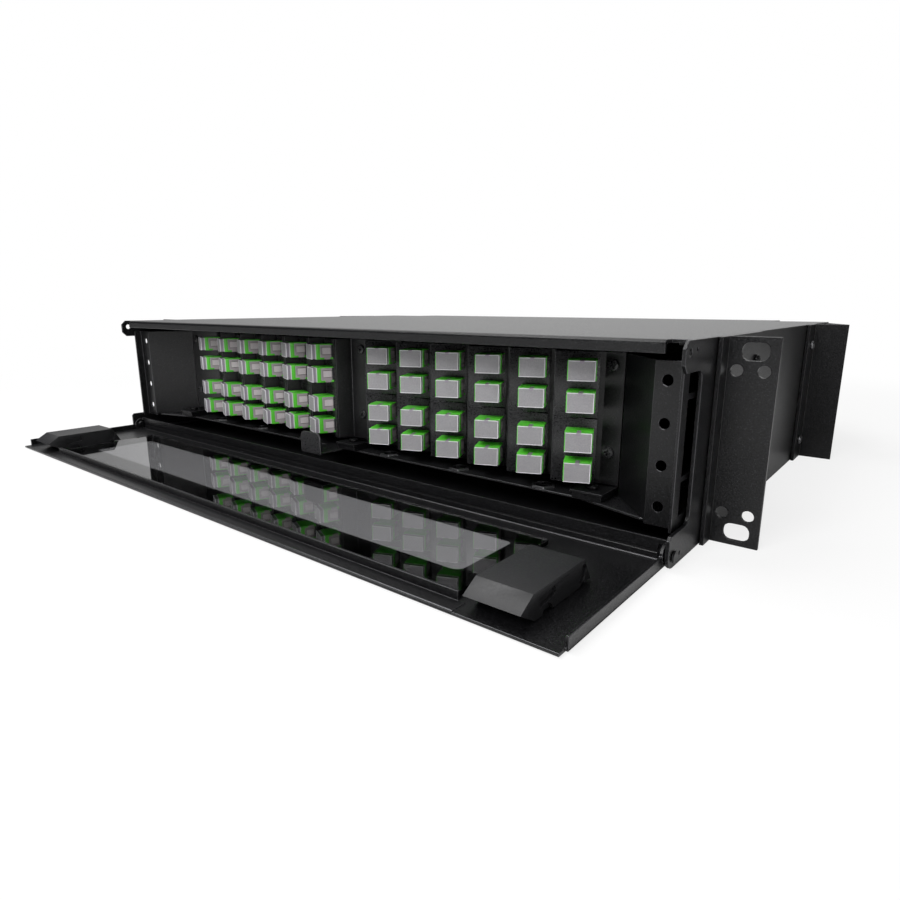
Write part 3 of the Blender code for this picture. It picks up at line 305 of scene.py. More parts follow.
class Finishes:
    """Every finish of the box, built once and fetched by name."""

    # black powder coat on folded steel, with a fine orange peel that breaks gloss into sparkle
    STEEL = Finish("black_powder_coat", "1a1a1c", "000000", 0.34, mottle=0.012, grain=0.0007,
                   bump=0.9, bump_depth=0.00009, speck="242426", speck_size=0.0004,
                   speck_share=0.04, specular=0.38)
    # a lighter, metallic coat on the rounded folded and cut edges: a painted highlight along them
    EDGE = Finish("thin_coat_on_edges", "4e4e50", "3c3c3e", 0.30, mottle=0.005, grain=0.0006,
                  bump=0.15, metallic=0.75)
    # smoother, glossier coat of the facet plates, the bank screws and the tray floor
    PLATE = Finish("smooth_black_coat", "28282a", "060607", 0.30, mottle=0.012, grain=0.0007,
                   bump=0.6, bump_depth=0.00007, speck="2c2c2e", speck_size=0.0005,
                   speck_share=0.10)
    # black zinc of the hinge pins, the foot screws and the front ears' screws
    SCREW = Finish("black_zinc_plating", "1c1c1e", "101011", 0.36, mottle=0.002, bump=0.15,
                   metallic=0.7)
    # dull bare zinc of the rear ears' screws; on the tray floor's edges, zinc and a painted
    # highlight
    ZINC = Finish("dull_zinc_plating", "7c7c7e", "5c5c5e", 0.38, mottle=0.002, bump=0.15,
                  metallic=0.9)
    # moulded green plastic of the adapter bodies
    GREEN = Finish("green_moulded_plastic", "5bcb38", "52c430", 0.38, mottle=0.006, grain=0.0004,
                   bump=0.08, subsurface=0.05)
    # pale plastic of the dust caps' rims, partly its own tone and partly a painted highlight
    CAP_RIM = Finish("cap_rim_plastic", "e6e4e8", "d8d5db", 0.42)
    # matt etched front of the dust caps
    CAP_FACE = Finish("cap_face_plastic", "9c9b9d", "858387", 0.55, grain=0.0004, bump=0.25)
    # grey waist of the dust caps, behind the front rim
    CAP_WAIST = Finish("cap_waist_plastic", "968f9a", "89818d", 0.5)
    # edges of the dust caps that show the green behind them through their clear plastic
    CAP_TINT = Finish("cap_edge_tinted_green", "62cc40", "56c034", 0.4)
    # milky shoulder of the dust caps, which lets some light through
    CAP_NECK = Finish("cap_neck_plastic", "d3ccd6", "c4bdc8", 0.5, subsurface=0.1)
    # pale frame of the sleeves in the adapters' side windows
    SLEEVE = Finish("sleeve_plastic", "a79fa2", "989093", 0.45, mottle=0.003)
    # lighter sunk panel of those sleeves
    SLEEVE_PANEL = Finish("sleeve_panel_plastic", "d4cdcf", "c0b8bb", 0.4, mottle=0.002)
    # dark clip between a sleeve and the facet plate
    CLIP = Finish("dark_clip_plastic", "3d3a40", "343137", 0.5, mottle=0.003)
    # smoky acrylic of the door's window
    ACRYLIC = ClearSheet("smoky_acrylic", "838385", roughness=0.004, index=1.42)
    # black plastic of the latches, spools and splice cassette, moulded with an even matt grain
    PLASTIC = Finish("black_moulded_plastic", "202022", "18181a", 0.5, mottle=0.008, grain=0.0008,
                     bump=0.5, bump_depth=0.00005)
    # clear lid of the splice cassette
    CLEAR = ClearSheet("clear_lid_plastic", "e8ecec", roughness=0.08)
    # soft black rubber of the cable grommets
    RUBBER = Finish("black_grommet_rubber", "121212", "0b0b0b", 0.75, grain=0.0005, bump=0.3)

    def __init__(self) -> None:
        """Starts with nothing built."""
        self.made: dict[str, Material] = {}

    def get(self, finish: Finish | ClearSheet) -> Material:
        """Gives a finish's material, built at its first use.

        Args:
            finish: the finish wanted.

        Returns:
            Its material.
        """
        if finish.name not in self.made:
            self.made[finish.name] = finish.build()
        return self.made[finish.name]


# ---- mesh helpers


class Shape:
    """A closed mesh made up piece by piece, in metres."""

    def __init__(self, name: str) -> None:
        """Starts an empty mesh of that name."""
        self.name = name
        self.bm = bmesh.new()

    def block(self, low: tuple, high: tuple, bevel: float = 0.0) -> "Shape":
        """Adds a block, with its edges rounded if a bevel is given.

        Args:
            low: lowest corner.
            high: highest corner.
            bevel: radius of the edges.

        Returns:
            The shape itself.
        """
        size = [h - l for l, h in zip(low, high)]
        middle = [(h + l) / 2 for l, h in zip(low, high)]
        matrix = Matrix.Translation(middle) @ Matrix.Diagonal((*size, 1))
        made = bmesh.ops.create_cube(self.bm, size=1.0, matrix=matrix)["verts"]
        if bevel:
            edges = list({e for v in made for e in v.link_edges})
            bmesh.ops.bevel(self.bm, geom=edges, offset=bevel, segments=BEVEL_STEPS, profile=0.5,
                            affect="EDGES", clamp_overlap=True)
        return self

    def prism(self, outline: list, axis: Axis, low: float, high: float) -> "Shape":
        """Adds an outline drawn along one axis.

        Args:
            outline: points in the plane across the axis, as Y and Z or X and Z.
            axis: the axis.
            low: where the prism starts.
            high: where it ends.

        Returns:
            The shape itself.
        """
        ends = []
        for at in (low, high):
            points = [tuple((*point, at)[k] for k in axis.value) for point in outline]
            ends.append([self.bm.verts.new(point) for point in points])
        faces = [self.bm.faces.new(ends[0]), self.bm.faces.new(ends[1][::-1])]
        for i in range(len(outline)):
            j = (i + 1) % len(outline)
            faces.append(self.bm.faces.new((ends[0][j], ends[0][i], ends[1][i], ends[1][j])))
        bmesh.ops.recalc_face_normals(self.bm, faces=faces)
        return self

    def turn(self, profile: list) -> "Shape":
        """Adds a closed profile of radius and height, turned about Z.

        Args:
            profile: points of radius and height, from the axis round to the axis.

        Returns:
            The shape itself.
        """
        rings, steps = [], TURN_STEPS
        for radius, height in profile:
            if radius < ON_AXIS:
                rings.append([self.bm.verts.new((0, 0, height))])
            else:
                angles = [math.tau * k / steps for k in range(steps)]
                points = [(radius * math.cos(a), radius * math.sin(a), height) for a in angles]
                rings.append([self.bm.verts.new(point) for point in points])
        faces = []
        for one, two in zip(rings, rings[1:]):
            for k in range(steps):
                j = (k + 1) % steps
                around = ((one, k), (one, j), (two, j), (two, k))
                corners = list(dict.fromkeys(ring[i % len(ring)] for ring, i in around))
                if len(corners) > 2:
                    faces.append(self.bm.faces.new(corners))
        bmesh.ops.recalc_face_normals(self.bm, faces=faces)
        return self

    def object(self) -> Object:
        """Makes the shape an object in the scene.

        Returns:
            The object.
        """
        mesh = bpy.data.meshes.new(self.name)
        self.bm.to_mesh(mesh)
        self.bm.free()
        return add_object(self.name, mesh)


def add_object(name: str, data: ID) -> Object:
    """Adds an object to the scene.

    Args:
        name: its name.
        data: its mesh, camera or lamp.

    Returns:
        The object.
    """
    made = bpy.data.objects.new(name, data)
    bpy.context.scene.collection.objects.link(made)
    return made


def paint(part: Object, material: Material) -> Object:
    """Gives an object one material in place of its own.

    Args:
        part: the object.
        material: its new material.

    Returns:
        The same object.
    """
    part.data.materials.clear()
    part.data.materials.append(material)
    return part


def bake(source: Object) -> Object:
    """Replaces an object by the plain mesh that its modifiers give.

    Args:
        source: the object with modifiers.

    Returns:
        The plain object.
    """
    view = bpy.context.evaluated_depsgraph_get()
    view.update()
    mesh = bpy.data.meshes.new_from_object(source.evaluated_get(view), depsgraph=view)
    name = source.name
    bpy.data.objects.remove(source)
    return add_object(name, mesh)


def carve(target: Object, *cutters: Object) -> Object:
    """Cuts shapes out of an object.

    Args:
        target: the object that is cut.
        *cutters: the shapes taken away, which are removed from the scene.

    Returns:
        The cut object.
    """
    for cutter in cutters:
        step = target.modifiers.new("cut", "BOOLEAN")
        step.operation, step.solver, step.object = "DIFFERENCE", "EXACT", cutter
    made = bake(target)
    for cutter in cutters:
        bpy.data.objects.remove(cutter)
    return made


def soften(target: Object, width: float, angle: float = 32) -> Object:
    """Rounds an object's sharp edges and smooths what is round.

    Args:
        target: the object.
        width: width of the rounding.
        angle: smallest angle between two faces whose edge is rounded, in degrees.

    Returns:
        The rounded object.
    """
    step = target.modifiers.new("round", "BEVEL")
    step.width, step.segments, step.limit_method = width, BEVEL_STEPS, "ANGLE"
    step.angle_limit, step.use_clamp_overlap = math.radians(angle), True
    made = bake(target)
    made.data.shade_smooth()
    made.data.set_sharp_from_angle(angle=math.radians(angle - CREASE_MARGIN))
    return made


class Scatter:
    """A Geometry Nodes tree that sets one shape at every point of a mesh."""

    SOCKETS = {
        "Geometry": "Geometry", "Shape": "Object", "Turn": "Vector", "Spin": "Float", "Seed": "Int",
        "Finish": "Material",
    }

    def __init__(self) -> None:
        """Builds the tree."""
        tree = bpy.data.node_groups.new("set_at_points", "GeometryNodeTree")
        face = tree.interface
        for socket, kind in self.SOCKETS.items():
            face.new_socket(socket, in_out="INPUT", socket_type=f"NodeSocket{kind}")
        face.new_socket("Geometry", in_out="OUTPUT", socket_type="NodeSocketGeometry")
        given = add_node(tree, "NodeGroupInput").outputs
        shape = add_node(tree, "GeometryNodeObjectInfo", {"Object": given["Shape"]})
        angle = add_node(tree, "FunctionNodeRandomValue",
                         {2: 0.0, 3: given["Spin"], "Seed": given["Seed"]}, data_type="FLOAT")
        about = add_node(tree, "ShaderNodeCombineXYZ", {"Z": angle.outputs[1]})
        set_at = add_node(tree, "GeometryNodeInstanceOnPoints", {
            "Points": given["Geometry"], "Instance": shape.outputs["Geometry"],
            "Rotation": given["Turn"],
        })
        spun = add_node(tree, "GeometryNodeRotateInstances",
                        {"Instances": set_at.outputs[0], "Rotation": about.outputs[0]})
        real = add_node(tree, "GeometryNodeRealizeInstances", {0: spun.outputs[0]})
        dressed = add_node(tree, "GeometryNodeSetMaterial",
                           {"Geometry": real.outputs[0], "Material": given["Finish"]})
        add_node(tree, "NodeGroupOutput", {0: dressed.outputs[0]})
        self.tree = tree
        self.keys = {item.name: item.identifier for item in face.items_tree
                     if item.in_out == "INPUT"}

    def place(self, name: str, shape: Object, points: list, finish: Material, turn: tuple,
              spin: float = 0.0, seed: int = 1) -> Object:
        """Sets a shape at each of several points.

        Args:
            name: name of the finished piece.
            shape: the shape, modelled about the origin.
            points: the places, in metres.
            finish: the piece's material.
            turn: rotation of every copy.
            spin: largest extra turn about the shape's own Z, different at each point.
            seed: seed of those turns.

        Returns:
            The piece, as a plain mesh.
        """
        mesh = bpy.data.meshes.new(name)
        mesh.from_pydata([tuple(p) for p in points], [], [])
        holder = add_object(name, mesh)
        step = holder.modifiers.new("scatter", "NODES")
        step.node_group = self.tree
        given = {"Shape": shape, "Turn": turn, "Spin": spin, "Seed": seed, "Finish": finish}
        for key, value in given.items():
            step[self.keys[key]] = value
        return bake(holder)


def merge(name: str, parts: list) -> Object:
    """Joins plain meshes into one piece, keeping their materials.

    Args:
        name: name of the piece.
        parts: the objects, which are removed.

    Returns:
        The piece.
    """
    materials, bm = [], bmesh.new()
    for part in parts:
        before = len(bm.faces)
        bm.from_mesh(part.data)
        bm.faces.ensure_lookup_table()
        own = list(part.data.materials)
        for face in bm.faces[before:]:
            material = own[face.material_index]
            if material not in materials:
                materials.append(material)
            face.material_index = materials.index(material)
    mesh = bpy.data.meshes.new(name)
    bm.to_mesh(mesh)
    bm.free()
    for material in materials:
        mesh.materials.append(material)
    for part in parts:
        bpy.data.objects.remove(part)
    return add_object(name, mesh)


def hand_over(piece: Object, body: Body, slot: Slot, *nodes: str) -> None:
    """Gives a finished piece to the frame.

    Args:
        piece: the piece.
        body: the body that it rides on.
        slot: its material slot in the record; not used.
        *nodes: the CAD nodes that it stands for.
    """
    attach(piece, body.value)
    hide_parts(*nodes)
    LOG.info("%s: %d faces on %s", piece.name, len(piece.data.polygons), body.value)


# ---- sub-assemblies


@dataclass
class SheetMetal:
    """The folded steel pieces, which keep their solids and get powder coat and rounded edges, most
    with a painted highlight.
    """

    finishes: Finishes
    edge: float = 0.00022
    tray_edge: float = 0.00038
    nodes: tuple = (
        "base_pan", "top_cover", "side_plate_left", "side_plate_right", "front_ear_left",
        "front_ear_right", "rear_ear_left", "rear_ear_right", "tray_support_1", "tray_support_2",
        "tray_side_left", "tray_side_right", "adapter_bank", "door_panel",
    )

    def dress(self) -> None:
        """Rounds and coats each folded piece, and paints a highlight on the rounded edges of all
        but the ears.
        """
        coat, highlight = self.finishes.get(Finishes.STEEL), self.finishes.get(Finishes.EDGE)
        for name in self.nodes:
            round_node(name, coat, self.edge, None if "_ear_" in name else highlight)
        # the tray floor's rounded edges get zinc for its nuts and a painted highlight
        round_node("tray_floor", self.finishes.get(Finishes.PLATE), self.tray_edge,
                   self.finishes.get(Finishes.ZINC))


def round_node(name: str, material: Material, edge: float, edging: Material | None = None) -> None:
    """Gives a CAD node its material and rounded edges, with its mesh left alone.

    Args:
        name: the node.
        material: its material.
        edge: width of the rounded edges.
        edging: material of the rounded edges, if they have their own.
    """
    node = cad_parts[name]
    paint(node, material)
    if edging:
        node.data.materials.append(edging)
    step = node.modifiers.new("weld", "WELD")
    step.merge_threshold = WELD
    step = node.modifiers.new("planar", "DECIMATE")
    step.decimate_type, step.angle_limit = "DISSOLVE", math.radians(FLAT_ANGLE)
    step = node.modifiers.new("round", "BEVEL")
    step.width, step.segments, step.limit_method = edge, BEVEL_STEPS, "ANGLE"
    step.angle_limit, step.use_clamp_overlap = math.radians(FOLD_ANGLE), False
    # a given edging, a painted highlight, goes on the rounded edges
    step.material = 1 if edging else -1
    step = node.modifiers.new("flat", "WEIGHTED_NORMAL")
    step.keep_sharp, step.weight = True, NORMAL_WEIGHT
    LOG.info("%s: dressed as %s", name, material.name)


@dataclass
class AdapterBank:
    """Twelve facet plates, each with four green adapters and their dust caps."""

    finishes: Finishes
    scatter: Scatter
    columns: int = 6
    pitch: float = 0.0251
    yaw: float = math.radians(23.5)
    tip_y: float = 0.0283 - 0.169
    first_tip: dict = field(default_factory=lambda: {Side.RIGHT: 0.0262, Side.LEFT: 0.0006})
    along: dict = field(default_factory=lambda: {Side.RIGHT: 0.0130, Side.LEFT: 0.0105})
    rows: tuple = (0.0264, 0.0403, 0.0582, 0.0723)
    facet_length: float = 0.02282
    plate: float = 0.0012
    plate_low: float = 0.0187
    plate_high: float = 0.0797
    seam: float = 0.0494
    seam_step: float = 0.0003
    notch: tuple = (0.0058, 0.0004)
    body_half: tuple = (0.00635, 0.00465)
    reach: float = 0.0109
    tail: float = 0.0130
    window: tuple = (-0.0085, -0.0002)
    sleeve_back: float = -0.0015
    window_half: tuple = (-0.00355, 0.0041)
    window_depth: float = 0.0010
    foot: tuple = (-0.0059, -0.0021)
    panel: tuple = (-0.0071, -0.0018)
    panel_half: tuple = (-0.0017, 0.0025)
    groove: float = 0.00035
    cap_half: tuple = (0.0060, 0.00445)
    cap_front: float = -0.0138
    cap_rim: float = -0.0132
    cap_waist: float = -0.0115
    key_half: float = 0.0010
    key_back: float = -0.0072
    key_drop: float = 0.0012
    key_play: float = 1.1
    key_slim: float = 0.96
    rim_width: float = 0.00034
    rim_rise: float = 0.00015
    waist_sink: tuple = (0.00018, 0.00015)
    rib_places: tuple = (-0.0026, 0.0, 0.0026)
    rib_half: float = 0.0007
    sleeve_depth: float = 0.0014
    groove_depth: float = 0.0009
    ease: float = 0.00005
    body_round: float = 0.00016
    cap_round: float = 0.00012
    sleeve_round: float = 0.00008
    plate_round: float = 0.00012
    plate_gap: float = 0.0006
    plate_front: float = -0.0005
    plate_back: float = -0.0001

    def frame_of(self, side: Side, column: int) -> Matrix:
        """Gives the matrix from a facet's own frame, with -Y out of its front, to the box.

        Args:
            side: the half of the bank.
            column: the column, counted from the middle.

        Returns:
            The matrix.
        """
        tip = self.first_tip[side] + side.value * column * self.pitch
        along = self.along[side]
        x = tip + side.value * along * math.cos(self.yaw)
        y = self.tip_y + along * math.sin(self.yaw)
        turn = Matrix.Rotation(side.value * self.yaw, 4, "Z")
        return Matrix.Translation(Vector((x, y, 0))) @ turn

    def body_shape(self) -> Object:
        """Makes an adapter body with its side windows and key slot.

        Returns:
            The body, about the middle of its mounting face.
        """
        x, z = self.body_half
        body = Shape("adapter_body").block((-x, -self.reach, -z), (x, self.tail, z)).object()
        cuts = []
        y0, y1 = self.window
        z0, z1 = self.window_half
        foot_lap, slot_depth = 0.0005, 0.0008
        for way in (-1, 1):
            inner, outer = sorted((way * (x - self.window_depth), way * (x + OVERCUT)))
            cuts.append(Shape("window").block((inner, y0, z0), (outer, y1, z1)).object())
            cuts.append(Shape("foot").block((inner, self.foot[0], -z - OVERCUT),
                                            (outer, self.foot[1], z0 + foot_lap)).object())
        slot = self.key_half * self.key_play
        cuts.append(Shape("key_slot").block((-slot, -self.reach - OVERCUT, z - slot_depth),
                                            (slot, self.key_back, z + OVERCUT)).object())
        body = soften(carve(body, *cuts), self.body_round)
        return paint(body, self.finishes.get(Finishes.GREEN))

    def rim_shape(self) -> Object:
        """Makes the front plate of a dust cap, a raised rim round a shallow panel.

        Returns:
            The plate.
        """
        x, z = self.cap_half
        front, rim = self.cap_front, self.rim_width
        plate = Shape("cap_rim").block((-x, front, -z), (x, self.cap_rim, z)).object()
        inner = Shape("cap_panel").block((-x + rim, front - OVERCUT, -z + rim),
                                         (x - rim, front + self.rim_rise, z - rim)).object()
        return soften(carve(plate, inner), self.cap_round)

    def tint_shape(self) -> Object:
        """Makes the edges of a dust cap that look green, at its far side and top.

        Returns:
            The edges.
        """
        x, z = self.cap_half
        skin, thick, rounding = 0.00004, 0.0003, 0.00008
        top_gap, rim_gap, lap = 0.0001, 0.00025, 0.0002
        tint = Shape("cap_tint").block((-x - skin, self.cap_front - skin, -z + thick),
                                       (-x + thick, self.cap_rim, z - top_gap), rounding)
        for way in (-1, 1):
            inner, outer = sorted((way * self.key_half, way * (x - self.ease)))
            tint.block((inner, self.cap_front + rim_gap, z - lap),
                       (outer, -self.reach + lap, z + rounding), rounding)
        return tint.object()

    def panel_shape(self) -> Object:
        """Makes the matt panel in the front of a dust cap.

        Returns:
            The panel.
        """
        x, z = self.cap_half
        border, thick, sunk = 0.0003, 0.0005, 0.00007
        front = self.cap_front + sunk
        return Shape("cap_panel").block((-x + border, front, -z + border),
                                        (x - border, front + thick, z - border), self.ease).object()

    def waist_shape(self) -> Object:
        """Makes the sunk waist of a dust cap, with three grip ribs a side, and the key on top.

        Returns:
            The waist and key.
        """
        x, z = self.cap_half[0] - self.waist_sink[0], self.cap_half[1] - self.waist_sink[1]
        front, rim, back, key = self.cap_front, self.cap_rim, self.cap_waist, self.key_half
        lap, rib_rise, rib_gap, rib_round = 0.0002, 0.0001, 0.0001, 0.00006
        proud, sunk, root, low, key_round = 0.00008, 0.00002, 0.0007, 0.00015, 0.0001
        waist = Shape("cap_waist").block((-x, rim - lap, -z), (x, back + lap, z))
        for way in (-1, 1):
            inner, outer = sorted((way * (x - lap), way * (x + rib_rise)))
            for at in self.rib_places:
                waist.block((inner, rim + rib_gap, at - self.rib_half),
                            (outer, back - rib_gap, at + self.rib_half), rib_round)
        z, top, slim = self.cap_half[1], self.body_half[1], key * self.key_slim
        waist.block((-key, front - proud, z - self.key_drop), (key, rim, z - sunk), key_round)
        waist.block((-slim, front + lap, z - root), (slim, self.key_back, top - low), key_round)
        return waist.object()

    def neck_shape(self) -> Object:
        """Makes the milky shoulder of a dust cap, against the adapter.

        Returns:
            The shoulder.
        """
        x, z = self.cap_half
        lap, rounding = 0.0003, 0.00015
        return Shape("cap_neck").block((-x, self.cap_waist, -z), (x, -self.reach + lap, z),
                                       rounding).object()

    def sleeve_shape(self) -> Object:
        """Makes the sleeve frames in the two side windows, with a foot below each.

        Returns:
            The frames and feet.
        """
        x, z = self.body_half
        y0 = self.window[0]
        z0, z1 = self.window_half
        sunk, hollow_depth, foot_sunk, foot_rise, rounding = 0.00015, 0.0003, 0.0001, 0.0006, 0.0001
        plain = self.finishes.get(Finishes.GREEN)
        parts = []
        for way in (-1, 1):
            inner, outer = sorted((way * (x - self.sleeve_depth), way * (x - sunk)))
            sleeve = Shape("sleeve").block((inner, y0 + self.ease, z0 + self.ease),
                                           (outer, self.sleeve_back, z1 - self.ease))
            inner, outer = sorted((way * (x - hollow_depth), way * (x + OVERCUT)))
            cuts = [Shape("hollow").block((inner, self.panel[0], self.panel_half[0]),
                                          (outer, self.panel[1], self.panel_half[1])).object()]
            inner, outer = sorted((way * (x - self.groove_depth), way * (x + OVERCUT)))
            for at in self.panel_half:
                cuts.append(Shape("groove").block((inner, self.panel[0], at - self.groove / 2),
                                                  (outer, 0.0, at + self.groove / 2)).object())
            parts.append(paint(soften(carve(sleeve.object(), *cuts), self.sleeve_round), plain))
            inner, outer = sorted((way * (x - self.groove_depth), way * (x - foot_sunk)))
            foot = Shape("foot").block((inner, self.foot[0] + self.ease, -z - self.ease),
                                       (outer, self.foot[1] - self.ease, z0 + foot_rise), rounding)
            parts.append(paint(foot.object(), plain))
        return merge("sleeve", parts)

    def panel_plate_shape(self) -> Object:
        """Makes the sunk panels of the sleeves.

        Returns:
            The panels.
        """
        x = self.body_half[0]
        depth, sunk, gap, rounding = 0.0007, 0.00024, 0.0001, 0.00004
        plate = Shape("sleeve_panel")
        low, high = self.panel_half[0] + self.groove / 2, self.panel_half[1] - self.groove / 2
        for way in (-1, 1):
            inner, outer = sorted((way * (x - depth), way * (x - sunk)))
            plate.block((inner, self.panel[0] + gap, low), (outer, self.panel[1] - gap, high),
                        rounding)
        return plate.object()

    def clip_shape(self) -> Object:
        """Makes the dark clips behind the two sleeves.

        Returns:
            The clips.
        """
        x = self.body_half[0]
        sunk, lap, gap, rounding = 0.00045, 0.0002, 0.0001, 0.0001
        clip = Shape("clip")
        for way in (-1, 1):
            inner, outer = sorted((way * (x - self.sleeve_depth), way * (x - sunk)))
            clip.block((inner, self.sleeve_back - lap, self.window_half[0] + gap),
                       (outer, self.window[1] - gap, self.window_half[1] - gap), rounding)
        return clip.object()

    def plates(self, side: Side, column: int) -> Object:
        """Makes a facet plate: an upper sheet and a slightly proud lower one, notched by the fold.

        Args:
            side: the half of the bank.
            column: the column, counted from the middle.

        Returns:
            The plate, in its place.
        """
        low = -self.along[side] + self.plate_gap
        high = self.facet_length - self.along[side] - 2 * self.plate
        notch_x, notch_z = self.notch
        seam, top = self.seam + self.ease, self.plate_high
        upper = [(low, seam), (high, seam), (high, top), (low, top)]
        lower = [(low, self.plate_low), (high, self.plate_low), (high, self.seam - notch_z),
                 (high - notch_x, self.seam - notch_z), (high - notch_x, self.seam),
                 (low, self.seam)]
        if side is Side.LEFT:
            upper, lower = [[(-x, z) for x, z in points][::-1] for points in (upper, lower)]
        coat = self.finishes.get(Finishes.PLATE)
        parts = []
        for name, outline, ahead in (("upper", upper, 0.0), ("lower", lower, self.seam_step)):
            sheet = Shape(f"facet_{name}").prism(outline, Axis.Y, self.plate_front - ahead,
                                                 self.plate_back).object()
            parts.append(paint(soften(sheet, self.plate_round), coat))
        piece = merge(f"facet_plates_{side.label}_{column + 1}", parts)
        piece.data.transform(self.frame_of(side, column))
        return piece

    def build(self) -> None:
        """Builds and hands over every column."""
        shapes = {
            "adapter_bodies": ((self.body_shape(), Finishes.GREEN),),
            "dust_caps": (
                (self.rim_shape(), Finishes.CAP_RIM), (self.panel_shape(), Finishes.CAP_FACE),
                (self.waist_shape(), Finishes.CAP_WAIST), (self.neck_shape(), Finishes.CAP_NECK),
                (self.tint_shape(), Finishes.CAP_TINT),
            ),
            "sleeves": (
                (self.sleeve_shape(), Finishes.SLEEVE),
                (self.panel_plate_shape(), Finishes.SLEEVE_PANEL),
                (self.clip_shape(), Finishes.CLIP),
            ),
        }
        for side in Side:
            for column in range(self.columns):
                matrix = self.frame_of(side, column)
                points = [matrix @ Vector((0, 0, height)) for height in self.rows]
                turn = (0.0, 0.0, side.value * self.yaw)
                node = f"adapter_column_{side.label}_{column + 1}"
                hand_over(self.plates(side, column), Body.HOUSING, Slot.STEEL, node)
                for label, kinds in shapes.items():
                    parts = []
                    for shape, finish in kinds:
                        # the green edges are on the right half's caps alone
                        if side is Side.RIGHT or finish is not Finishes.CAP_TINT:
                            coat = self.finishes.get(finish)
                            part = self.scatter.place(f"{label}_part", shape, points, coat, turn)
                            parts.append(part)
                    piece = merge(f"{label}_{side.label}_{column + 1}", parts)
                    slot = Slot.ADAPTER if label == "adapter_bodies" else Slot.CLEAR
                    hand_over(piece, Body.HOUSING, slot, node)
        for kinds in shapes.values():
            for shape, _ in kinds:
                bpy.data.objects.remove(shape)


@dataclass
class Latches:
    """The two slide latches of the door, with their true wedge noses."""

    finishes: Finishes
    inner: float = 0.1788
    outer: float = 0.2013
    front: float = -0.169
    outline: tuple = (
        (-0.0757, 0.0071), (-0.0670, 0.0018), (-0.0360, 0.0018), (-0.0346, 0.0030),
        (-0.0280, 0.0026), (-0.0331, 0.0117), (-0.0683, 0.0117),
    )
    grip: tuple = (
        (-0.0653, 0.0089), (-0.0638, 0.0051), (-0.0548, 0.0063), (-0.0540, 0.0066),
        (-0.0537, 0.0073), (-0.0538, 0.0088), (-0.0546, 0.0095),
    )
    arch: tuple = (-0.0588, 0.0014, 0.0034)
    eye: tuple = ((-0.0337, 0.0077), (-0.0346, 0.0053), 0.0023)
    pocket: float = 0.0014
    foot: tuple = (-0.0507, 0.0030, 0.0006)
    foot_top: float = 0.0025
    arch_span: tuple = (-12, 192)
    arch_steps: int = 20
    eye_angles: tuple = (-20, 160, 340)
    rounding: float = 0.00014
    round_angle: float = 28

    def arc(self, centre: tuple, radius: float, start: float, end: float, steps: int = 12) -> list:
        """Points of an arc, from one angle to another in degrees."""
        turns = [math.radians(start + (end - start) * k / steps) for k in range(steps + 1)]
        return [(centre[0] + radius * math.cos(t), centre[1] + radius * math.sin(t)) for t in turns]

    def placed(self, points: list | tuple) -> list:
        """Side-view points moved from the plates' front edges to the box's own frame."""
        return [(y + self.front, z) for y, z in points]

    def build(self) -> None:
        """Builds and hands over both latches."""
        coat = self.finishes.get(Finishes.PLASTIC)
        y, z, radius = self.arch
        arch = self.arc((y, z), radius, *self.arch_span, self.arch_steps)
        upper, lower, radius = self.eye
        start, half, end = self.eye_angles
        eye = self.arc(upper, radius, start, half) + self.arc(lower, radius, half, end)
        for side, body in ((Side.LEFT, Body.LATCH_LEFT), (Side.RIGHT, Body.LATCH_RIGHT)):
            low, high = sorted((side.value * self.inner, side.value * self.outer))
            latch = Shape("latch").prism(self.placed(self.outline), Axis.X, low, high).object()
            cuts = []
            for face, out in ((low, -1), (high, 1)):
                ends = sorted((face - out * self.pocket, face + out * OVERCUT))
                for outline in (self.grip, arch, eye):
                    cuts.append(Shape("pocket").prism(self.placed(outline), Axis.X, *ends).object())
            latch = soften(carve(latch, *cuts), self.rounding, self.round_angle)
            along, reach, low_z = self.foot
            top = self.foot_top
            foot = Shape("foot").turn([(0, low_z), (reach, low_z), (reach, top), (0, top)]).object()
            foot.data.transform(Matrix.Translation(((low + high) / 2, along + self.front, 0)))
            parts = [paint(part, coat) for part in (latch, foot)]
            piece = merge(f"latch_{side.label}", parts)
            hand_over(piece, body, Slot.PLASTIC, f"door_latch_{side.label}")


